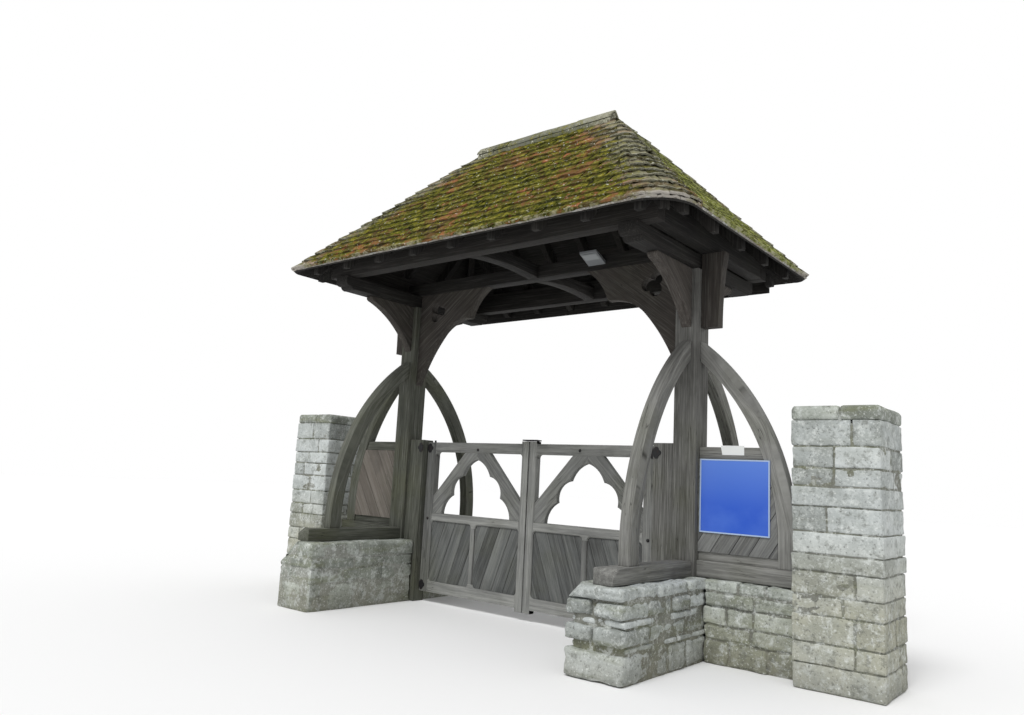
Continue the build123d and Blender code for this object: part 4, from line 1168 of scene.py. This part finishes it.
def tileTree():
    # Courses of overlapping tiles on a flat plane: X along the eaves, Y up the slope, Z out of it.
    # A position is read anew for each geometry that it is used on.
    tree = bpy.data.node_groups.new("tileCourses", "GeometryNodeTree")
    tree.interface.new_socket("Geometry", in_out="OUTPUT", socket_type="NodeSocketGeometry")
    for kind, names in tileInputs.items():
        for name in names:
            tree.interface.new_socket(name, in_out="INPUT", socket_type=kind)
    add = partial(addNode, tree)
    given = add("NodeGroupInput").outputs
    width, length, gauge = given["Tile width"], given["Tile length"], given["Gauge"]
    x, y = add("ShaderNodeSeparateXYZ", [add("GeometryNodeInputPosition")]).outputs[:2]

    # A point for each tile, with every other course half a tile along
    columnSteps = add("ShaderNodeMath", [given["Columns"], 1.0], operation="SUBTRACT")
    gridWidth = add("ShaderNodeMath", [columnSteps, width], operation="MULTIPLY")
    courseSteps = add("ShaderNodeMath", [given["Courses"], 1.0], operation="SUBTRACT")
    gridHeight = add("ShaderNodeMath", [courseSteps, gauge], operation="MULTIPLY")
    counts = {"Vertices X": given["Columns"], "Vertices Y": given["Courses"]}
    grid = add("GeometryNodeMeshGrid", {"Size X": gridWidth, "Size Y": gridHeight, **counts})
    upSlope = add("ShaderNodeMath", [gridHeight, 0.5, y], operation="MULTIPLY_ADD")
    rows = add("ShaderNodeMath", [upSlope, gauge], operation="DIVIDE")
    course = add("ShaderNodeMath", [rows], operation="ROUND")
    odd = add("ShaderNodeMath", [course, 2.0], operation="MODULO")
    halfWide = add("ShaderNodeMath", [width, 0.5], operation="MULTIPLY")
    stagger = add("ShaderNodeMath", [odd, halfWide, x], operation="MULTIPLY_ADD")
    tail = add("ShaderNodeMath", [course, gauge], operation="MULTIPLY")
    spot = add("ShaderNodeCombineXYZ", [stagger, tail])
    placed = add("GeometryNodeSetPosition", {"Geometry": grid, "Position": spot})

    # Points past either side of the slope are taken out
    shareUp = add("ShaderNodeMath", [y, given["Slope length"]], operation="DIVIDE")
    outside = 0.0
    for side, sign in (("Right half at eaves", 1.0), ("Left half at eaves", -1.0)):
        narrowing = add("ShaderNodeMath", [given[side], given["Half length at ridge"]], operation="SUBTRACT")
        lost = add("ShaderNodeMath", [shareUp, narrowing], operation="MULTIPLY")
        half = add("ShaderNodeMath", [given[side], lost], operation="SUBTRACT")
        room = add("ShaderNodeMath", [width, roof["spare"], half], operation="MULTIPLY_ADD")
        toSide = add("ShaderNodeMath", [x, sign], operation="MULTIPLY")
        past = add("ShaderNodeMath", [toSide, room], operation="GREATER_THAN")
        outside = add("ShaderNodeMath", [past, outside], operation="MAXIMUM")
    kept = add("GeometryNodeDeleteGeometry", {"Geometry": placed, "Selection": outside})

    # One cambered tile, tilted on the course below, with its rise kept for the material
    slim = add("ShaderNodeMath", [width, given["Tile gap"]], operation="SUBTRACT")
    size = add("ShaderNodeCombineXYZ", [slim, length, given["Tile thickness"]])
    across, along = roof["tileCells"]
    cells = {"Vertices X": across, "Vertices Y": along, "Vertices Z": 2}
    tile = add("GeometryNodeMeshCube", {"Size": size, **cells})
    sideways = add("ShaderNodeMath", [x, width], operation="DIVIDE")
    squared = add("ShaderNodeMath", [sideways, sideways], operation="MULTIPLY")
    fall = add("ShaderNodeMath", [squared, given["Camber"]], operation="MULTIPLY")
    sag = add("ShaderNodeCombineXYZ", {"Z": add("ShaderNodeMath", [fall, -1.0], operation="MULTIPLY")})
    cambered = add("GeometryNodeSetPosition", {"Geometry": tile, "Offset": sag})
    halfLong = add("ShaderNodeMath", [length, 0.5], operation="MULTIPLY")
    fromTail = add("ShaderNodeMath", [y, halfLong], operation="ADD")
    rise = add("ShaderNodeMath", [fromTail, gauge], operation="DIVIDE")
    stored = {"Geometry": cambered, "Name": "rise", "Value": rise}
    marked = add("GeometryNodeStoreNamedAttribute", stored, data_type="FLOAT", domain="POINT")
    seat = add("ShaderNodeCombineXYZ", {"Y": halfLong, "Z": given["Lift"]})
    tilt = add("ShaderNodeCombineXYZ", {"X": given["Tilt"]})
    posed = add("GeometryNodeTransform", {"Geometry": marked, "Translation": seat, "Rotation": tilt})

    # Each tile a little off its place, with a tone of its own
    spreads = {}
    for name, seedShift in (("Nudge", 0.0), ("Turn", 3.0)):
        seed = add("ShaderNodeMath", [given["Seed"], seedShift], operation="ADD")
        least = add("ShaderNodeVectorMath", [given[name], -1.0], operation="SCALE")
        limits = {"Min": least, "Max": given[name], "Seed": seed}
        spreads[name] = add("FunctionNodeRandomValue", limits, data_type="FLOAT_VECTOR")
    nudged = add("GeometryNodeSetPosition", {"Geometry": kept, "Offset": spreads["Nudge"]})
    laying = {"Points": nudged, "Instance": posed, "Rotation": spreads["Turn"]}
    laid = add("GeometryNodeInstanceOnPoints", laying)
    seed = add("ShaderNodeMath", [given["Seed"], 7.0], operation="ADD")
    tone = add("FunctionNodeRandomValue", {"Min": 0.0, "Max": 1.0, "Seed": seed}, data_type="FLOAT")
    stored = {"Geometry": laid, "Name": "tone", "Value": tone}
    toned = add("GeometryNodeStoreNamedAttribute", stored, data_type="FLOAT", domain="INSTANCE")

    # Moss lumps push the faces out
    real = add("GeometryNodeRealizeInstances", {"Geometry": toned})
    lumps = add("ShaderNodeTexNoise", {"Scale": 1000 / roof["lumpSize"], "Detail": 4.0})
    level = add("ShaderNodeMath", [lumps, roof["lumpLevel"]], operation="SUBTRACT")
    swell = add("ShaderNodeMath", [level, given["Lump height"]], operation="MULTIPLY")
    push = add("ShaderNodeVectorMath", [add("GeometryNodeInputNormal"), swell], operation="SCALE")
    grown = add("GeometryNodeSetPosition", {"Geometry": real, "Offset": push})
    flat = add("GeometryNodeSetShadeSmooth", {"Geometry": grown, "Shade Smooth": False})
    coated = add("GeometryNodeSetMaterial", {"Geometry": flat, "Material": given["Material"]})
    add("NodeGroupOutput", [coated])
    return tree


def grow(tree, name, values):  # runs a node tree and returns its plain mesh
    carrier = bpy.data.objects.new(name + "Carrier", bpy.data.meshes.new(name + "Carrier"))
    scene.collection.objects.link(carrier)
    modifier = carrier.modifiers.new("nodes", "NODES")
    modifier.node_group = tree
    for item in tree.interface.items_tree:
        if item.in_out == "INPUT":
            modifier[item.identifier] = values[item.name]
    graph = bpy.context.evaluated_depsgraph_get()
    mesh = bpy.data.meshes.new_from_object(carrier.evaluated_get(graph), depsgraph=graph)
    bpy.data.objects.remove(carrier)
    return mesh


def courseValues(facing, rows, material, seed):
    right, left = (slopeHalf(facing, side, 0, 0, roof["sweepReach"]) for side in (1, -1))
    return {
        "Half length at ridge": faces[facing][1],
        "Right half at eaves": right,
        "Left half at eaves": left,
        "Slope length": slopes["length"],
        "Tile width": roof["tileWidth"],
        "Tile gap": roof["tileGap"],
        "Tile length": rows["length"],
        "Tile thickness": roof["tileThickness"],
        "Camber": roof["camber"],
        "Gauge": roof["gauge"],
        "Tilt": -math.atan((rows["lift"] - roof["headLift"]) / rows["length"]),
        "Lift": (rows["lift"] + roof["headLift"] + roof["tileThickness"]) / 2,
        "Lump height": roof["lumpHeight"],
        "Nudge": roof["nudge"],
        "Turn": roof["turn"],
        "Columns": math.ceil(2 * max(right, left) / roof["tileWidth"]) + 3,
        "Courses": rows["courses"],
        "Seed": seed,
        "Material": material,
    }


def trimTiles(mesh, facing, firstTail):
    # Tiles are cut to the swept corners, kept inside the tile layer, and slivers are dropped
    perTile = roof["tileCells"][0] * roof["tileCells"][1] * 2
    bm = bmesh.new()
    bm.from_mesh(mesh)
    verts = bm.verts[:]
    dropped = []
    for start in range(0, len(verts), perTile):
        tile = verts[start:start + perTile]
        for place in [vert.co for vert in tile]:
            place.z = inLayer(place.z)
            apex = (slopes["soffit"] + place.z * slopes["sin"]) / slopes["cos"] - roof["apexGap"]
            place.y = min(max(place.y + firstTail, roof["least"]), apex)
            right, left = (slopeHalf(facing, side, place.y, place.z, roof["tuckUnder"]) for side in (1, -1))
            place.x = min(max(place.x, -left), right)
        if max(v.co.x for v in tile) - min(v.co.x for v in tile) < roof["narrowest"]:
            dropped += tile
    bmesh.ops.delete(bm, geom=dropped, context="VERTS")
    bmesh.ops.dissolve_degenerate(bm, dist=1e-5, edges=bm.edges)
    bm.to_mesh(mesh)
    bm.free()


def layTiles():
    tree = tileTree()
    for index, facing in enumerate(faces):
        material = sunnyTile if facing == "right" else mossyTile
        tiles = bmesh.new()
        for kind, rows in tileRows.items():
            laid = grow(tree, f"{facing}_{kind}", courseValues(facing, rows, material, rows["seed"] + index))
            laid.transform(Matrix.Translation((rows["shift"] * roof["tileWidth"], 0, 0)))
            trimTiles(laid, facing, rows["firstTail"])
            tiles.from_mesh(laid)
            bpy.data.meshes.remove(laid)
        mesh = bpy.data.meshes.new(f"{facing}_tiles")
        tiles.to_mesh(mesh)
        tiles.free()
        mesh.transform(slopeMatrix(facing))
        linkPiece(mesh, "root", "clay_tiles", material, f"{facing}_roof_slope")


layTiles()
print("slopes tiled")


def addShell(bm, surface, across, along, thickness, tone=0.5, laps=0.0):
    # Closed slab under surface(s, t, depth): s from -1 to 1 across, t from 0 at the tail to 1 at the head
    toneLayer, riseLayer = bm.verts.layers.float["tone"], bm.verts.layers.float["rise"]

    def row(t, depth):
        verts = [bm.verts.new(surface(2 * i / across - 1, t, depth)) for i in range(across + 1)]
        for vert in verts:
            vert[toneLayer] = tone
            vert[riseLayer] = t * laps
        return verts

    top, under = ([row(j / along, depth) for j in range(along + 1)] for depth in (0.0, thickness))
    for j in range(along):
        for i in range(across):
            bm.faces.new((top[j][i], top[j][i + 1], top[j + 1][i + 1], top[j + 1][i]))
            bm.faces.new((under[j][i], under[j + 1][i], under[j + 1][i + 1], under[j][i + 1]))
    for i in range(across):
        bm.faces.new((under[0][i], under[0][i + 1], top[0][i + 1], top[0][i]))
        bm.faces.new((top[along][i], top[along][i + 1], under[along][i + 1], under[along][i]))
    for j in range(along):
        bm.faces.new((top[j][0], top[j + 1][0], under[j + 1][0], under[j][0]))
        bm.faces.new((under[j][across], under[j + 1][across], top[j + 1][across], top[j][across]))


def closedMesh(bm, name):
    bmesh.ops.dissolve_degenerate(bm, dist=1e-5, edges=bm.edges)
    bmesh.ops.recalc_face_normals(bm, faces=bm.faces)
    return meshFrom(bm, name, 40)


# Hips: the courses turn each corner in a sweep

sweptTiles = {
    "lip": 0.002,  # thicker than the slopes' tiles
    "cells": 5,
    "fill": 0.49,  # share of its place that a tile fills on each side of its middle
    "tip": (-0.014, 0.008),
    "slip": 0.0035,
    "lumps": (2.2, 3.4),  # waves across and along a tile
    "lumpHeight": 0.012,
    "camber": 0.004,
    "seed": 55,
}


def cornerCourse(bm, corner, tail, length, lifts, stagger, rng):
    wide = halfWidth(tail, 0)
    width = (sweepShare(corner) * math.pi / 2 + 2 * roof["sweepReach"] / slopes["soffit"]) * wide
    count = max(1, round(width / roof["sweptTile"]))
    cuts = [k / count for k in range(count + 1)]
    if stagger and count > 1:
        cuts = [0.0, *((k + 0.5) / count for k in range(count)), 1.0]
    for start, stop in zip(cuts, cuts[1:]):
        tip = rng.uniform(*sweptTiles["tip"])
        slip = rng.uniform(-sweptTiles["slip"], 0.0)
        shift = randomOffset(rng)

        def surface(a, t, depth):
            s = start + (stop - start) * (0.5 + a * sweptTiles["fill"])
            v = max(tail + tip * (1 - t) + t * length, roof["least"])
            waves = Vector((a * sweptTiles["lumps"][0], t * sweptTiles["lumps"][1], 0))
            lump = (noise.noise(waves + shift) - 1 / 3) * sweptTiles["lumpHeight"]
            n = lifts[0] + (lifts[1] - lifts[0]) * t + slip + lump - depth - sweptTiles["camber"] * a * a
            return cornerPoint(corner, s, v, inLayer(n))

        thickness = roof["tileThickness"] + sweptTiles["lip"]
        cells = sweptTiles["cells"]
        addShell(bm, surface, cells, cells, thickness, rng.random(), length / roof["gauge"])


def sweepCorners():
    rng = random.Random(sweptTiles["seed"])
    bm = addLayers(bmesh.new(), "tone", "rise")
    main, under = tileRows["main"], tileRows["under"]
    head = roof["headLift"] + roof["tileThickness"]
    lifts = (roof["layer"], head + sweptTiles["lip"])
    underLifts = (under["lift"] + roof["tileThickness"], head)
    for corner in corners:
        cornerCourse(bm, corner, under["firstTail"], under["length"], underLifts, True, rng)
        for k in range(main["courses"]):
            tail = main["firstTail"] + k * roof["gauge"]
            length = min(main["length"], slopes["length"] - tail)
            cornerCourse(bm, corner, tail, length, lifts, k % 2 == 1, rng)
    linkPiece(closedMesh(bm, "swept_hip_tiles"), "root", "ridge_tiles", mossyTile, "hip_tiles")


sweepCorners()

# Lime mortar under the lowest course, a little ragged at its lip

eavesBed = {"waves": 14, "ragged": 0.006, "slopeCells": 60, "cornerCells": 16}


def bedEaves():
    bm = addLayers(bmesh.new(), "tone", "rise")
    low, high = roof["mortarRun"]
    thickness = roof["mortarTop"] - roof["boarding"]

    def upSlope(t, place):
        return low + t * (high - low) + noise.noise(place * eavesBed["waves"]) * eavesBed["ragged"] * (1 - t)

    for facing in faces:
        matrix = slopeMatrix(facing)

        def surface(a, t, depth):
            n = roof["mortarTop"] - depth
            x = a * slopeHalf(facing, a, low, n, 0.0)
            return matrix @ Vector((x, upSlope(t, matrix @ Vector((x, 0, 0))), n))

        addShell(bm, surface, eavesBed["slopeCells"], 1, thickness)
    for corner in corners:

        def surface(a, t, depth):
            s = roundCorner(corner, a)
            v = upSlope(t, cornerPoint(corner, s, low, 0))
            return cornerPoint(corner, s, v, roof["mortarTop"] - depth)

        addShell(bm, surface, eavesBed["cornerCells"], 1, thickness)
    linkPiece(closedMesh(bm, "eaves_mortar"), "root", "clay_tiles", mortar["eaves"])


bedEaves()

# Boarding under the tiles, seen between the rafters

boardingRandom = random.Random(roof["seed"])


def boardSlope(facing):
    matrix = slopeMatrix(facing)
    source = addLayers(bmesh.new(), "tone", "rise", "grain")

    def surface(a, t, depth):
        n = roof["boarding"] - depth
        v = min(t, roof["boardedTo"]) * slopes["length"]
        return matrix @ Vector((a * slopeHalf(facing, a, v, n, 0.0), v, n))

    addShell(source, surface, 2, 1, roof["boarding"])
    bmesh.ops.recalc_face_normals(source, faces=source.faces)
    uphill = (matrix.to_3x3() @ Vector((0, 1, 0))).normalized()
    along = matrix.to_3x3() @ Vector((1, 0, 0))
    boards = addLayers(bmesh.new(), "grain", "tone")
    start = 0.0
    while start < slopes["length"]:
        board = source.copy()
        cutAway(board, matrix.translation + uphill * start, -uphill)
        cutAway(board, matrix.translation + uphill * (start + roof["boardWidth"]), uphill)
        layGrain(board, board.verts, along, randomOffset(boardingRandom))
        softenEdges(board, roof["boardArris"], 1)
        joinInto(boards, board)
        start += roof["boardWidth"]
    source.free()
    linkPiece(meshFrom(boards, f"{facing}_boarding"), "root", "dark_oak", oak["dark"])


def boardCorners():
    bm = addLayers(bmesh.new(), "tone", "rise", "grain")
    for corner in corners:

        def surface(a, t, depth):
            v = min(t, roof["cornerBoardedTo"]) * slopes["length"]
            return cornerPoint(corner, roundCorner(corner, a), v, roof["boarding"] - depth)

        addShell(bm, surface, 12, 1, roof["boarding"])
    for island in islandsOf(bm):
        layGrain(bm, island, (0, 0, 1), randomOffset(boardingRandom))
    linkPiece(closedMesh(bm, "corner_boarding"), "root", "dark_oak", oak["dark"])


for facing in faces:
    boardSlope(facing)
boardCorners()
print("hips swept, eaves bedded and slopes boarded")

# Ridge tiles, a low saddle in a mortar bed

ridge = {
    "halfSpan": 0.070,
    "crown": 0.030,
    "steepness": 1.45,
    "tiles": 4,
    "gap": 0.006,
    "thickness": 0.016,
    "sunk": 0.012,
    "cells": (14, 8),
    "waves": (6, 3),
    "wobble": 0.006,
    "tip": 0.004,
    "tilt": 0.003,
    "bedCells": (14, 60),
    "bedWaves": (14, 5),
    "bedWobble": 0.004,
    "bedWidth": 0.97,  # of the tiles' width
    "bedInset": 0.012,
    "bedSunk": 0.016,
    "bedDepth": 0.045,
    "bedTone": 0.3,
    "seed": 85,
}


def ridgeRow():
    rng = random.Random(ridge["seed"])
    low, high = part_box("ridge_tiles")
    bm = addLayers(bmesh.new(), "tone", "rise")
    step = (high.x - low.x) / ridge["tiles"]

    def wobble(x, a, k, waves, size):
        return noise.noise(Vector((x * waves[0], a * waves[1], k))) * size

    def saddle(x, a, drop):  # drop is below the crown
        y = a * ridge["halfSpan"]
        fall = (math.hypot(y, ridge["crown"]) - ridge["crown"]) * ridge["steepness"]
        return Vector((x, y, high.z - ridge["sunk"] - fall - drop))

    for k in range(ridge["tiles"]):
        start = low.x + k * step
        tip = rng.uniform(0.0, ridge["tip"])
        tilt = rng.uniform(-ridge["tilt"], ridge["tilt"])

        def surface(a, t, depth):
            x = start + ridge["gap"] / 2 + t * (step - ridge["gap"])
            uneven = abs(wobble(x, a, k, ridge["waves"], ridge["wobble"]))
            return saddle(x, a, depth + tip + uneven + abs(tilt) + tilt * (2 * t - 1))

        addShell(bm, surface, *ridge["cells"], ridge["thickness"], rng.random())

    def bedding(a, t, depth):
        x = low.x + ridge["bedInset"] + t * (high.x - low.x - 2 * ridge["bedInset"])
        uneven = wobble(x, a, 3, ridge["bedWaves"], ridge["bedWobble"])
        return saddle(x, a * ridge["bedWidth"], ridge["thickness"] + ridge["bedSunk"] + depth + uneven)

    addShell(bm, bedding, *ridge["bedCells"], ridge["bedDepth"], ridge["bedTone"])
    linkPiece(closedMesh(bm, "ridge_row"), "root", "ridge_tiles", ridgeTile, "ridge_tiles")


ridgeRow()
print("ridge tiled")

# Ironwork keeps its CAD shape, and bolts hold the rails to the stiles


def coverNode(nodeName, material):
    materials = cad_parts[nodeName].data.materials
    materials.clear()
    materials.append(material)


for nodeName in ("gate_hooks", "left_gate_straps", "right_gate_straps", "gate_latch"):
    coverNode(nodeName, blackIron)

bolts = {
    "radius": 0.013,
    "rise": 0.008,
    "places": {"left": ((0.574, 1.376), (1.144, 0.743)), "right": ((0.514, 1.390), (1.144, 0.743))},
}


def addBolts(hand, sign):
    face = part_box(f"{hand}_gate_frame")[0].y
    dome = Matrix.Diagonal((bolts["radius"], bolts["rise"], bolts["radius"], 1))
    bm = bmesh.new()
    for x, z in bolts["places"][hand]:
        place = Matrix.Translation((sign * x, face, z)) @ dome
        bmesh.ops.create_uvsphere(bm, u_segments=18, v_segments=10, radius=1, matrix=place)
    cutAway(bm, (0, face, 0), (0, 1, 0))
    linkPiece(meshFrom(bm, f"{hand}_gate_bolts", 40), f"{hand}_gate", "wrought_iron", blackIron)


for hand, sign in handSigns.items():
    addBolts(hand, sign)

# Blank blue sign with a pale border, and a blank white card on the rail above it

signLook = {"border": 0.009, "proud": 0.0012}
card = {"low": (1.718, 1.381), "high": (1.889, 1.446), "slant": 0.014, "thickness": 0.0015}


def slab(bm, near, far):  # closed plate between two outlines, anticlockwise seen from the near side
    near, far = ([bm.verts.new(point) for point in outline] for outline in (near, far))
    bm.faces.new(near)
    bm.faces.new(far[::-1])
    for i in range(len(near)):
        j = (i + 1) % len(near)
        bm.faces.new((near[j], near[i], far[i], far[j]))


def uprightSlab(bm, outline, front, back):  # from an outline in the X-Z plane
    slab(bm, [(x, front, z) for x, z in outline], [(x, back, z) for x, z in outline])


def dressSign():
    coverNode("sign_board", signBlue)
    low, high = signLow, signHigh
    rim = signLook["border"]
    bm = bmesh.new()
    for x0, x1, z0, z1 in (
        (low.x, high.x, low.z, low.z + rim),
        (low.x, high.x, high.z - rim, high.z),
        (low.x, low.x + rim, low.z + rim, high.z - rim),
        (high.x - rim, high.x, low.z + rim, high.z - rim),
    ):
        uprightSlab(bm, [(x0, z0), (x1, z0), (x1, z1), (x0, z1)], low.y - signLook["proud"], low.y)
    linkPiece(meshFrom(bm, "sign_border"), "root", "sign_enamel", signPale)


def hangCard():
    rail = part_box("right_panel_rails")[0].y
    (x0, z0), (x1, z1) = card["low"], card["high"]
    bm = bmesh.new()
    outline = [(x0 + card["slant"], z0), (x1, z0), (x1, z1), (x0, z1)]
    uprightSlab(bm, outline, rail - card["thickness"], rail)
    linkPiece(meshFrom(bm, "blank_card"), "root", "sign_enamel", cardWhite)


dressSign()
hangCard()

# Dark lamp casing, with a pale cover let into its underside

lampLook = {"rim": 0.012, "proud": 0.001}


def dressLamp():
    coverNode("lamp", lampGrey)
    bm = solidOf("lamp")
    under = max((face for face in bm.faces if face.normal.z < -0.3), key=lambda face: face.calc_area())
    middle, normal = under.calc_center_median(), under.normal.copy()
    outline = []
    for vert in under.verts:
        inward = [math.copysign(min(lampLook["rim"], abs(c)), c) for c in middle - vert.co]
        outline.append(vert.co + Vector(inward))
    bm.free()
    plate = addLayers(bmesh.new(), "grain", "tone")
    slab(plate, [point + normal * lampLook["proud"] for point in outline], outline)
    bmesh.ops.recalc_face_normals(plate, faces=plate.faces)
    linkPiece(meshFrom(plate, "lamp_cover"), "root", "lamp_casing", lampGlass)


dressLamp()
print("fittings dressed")
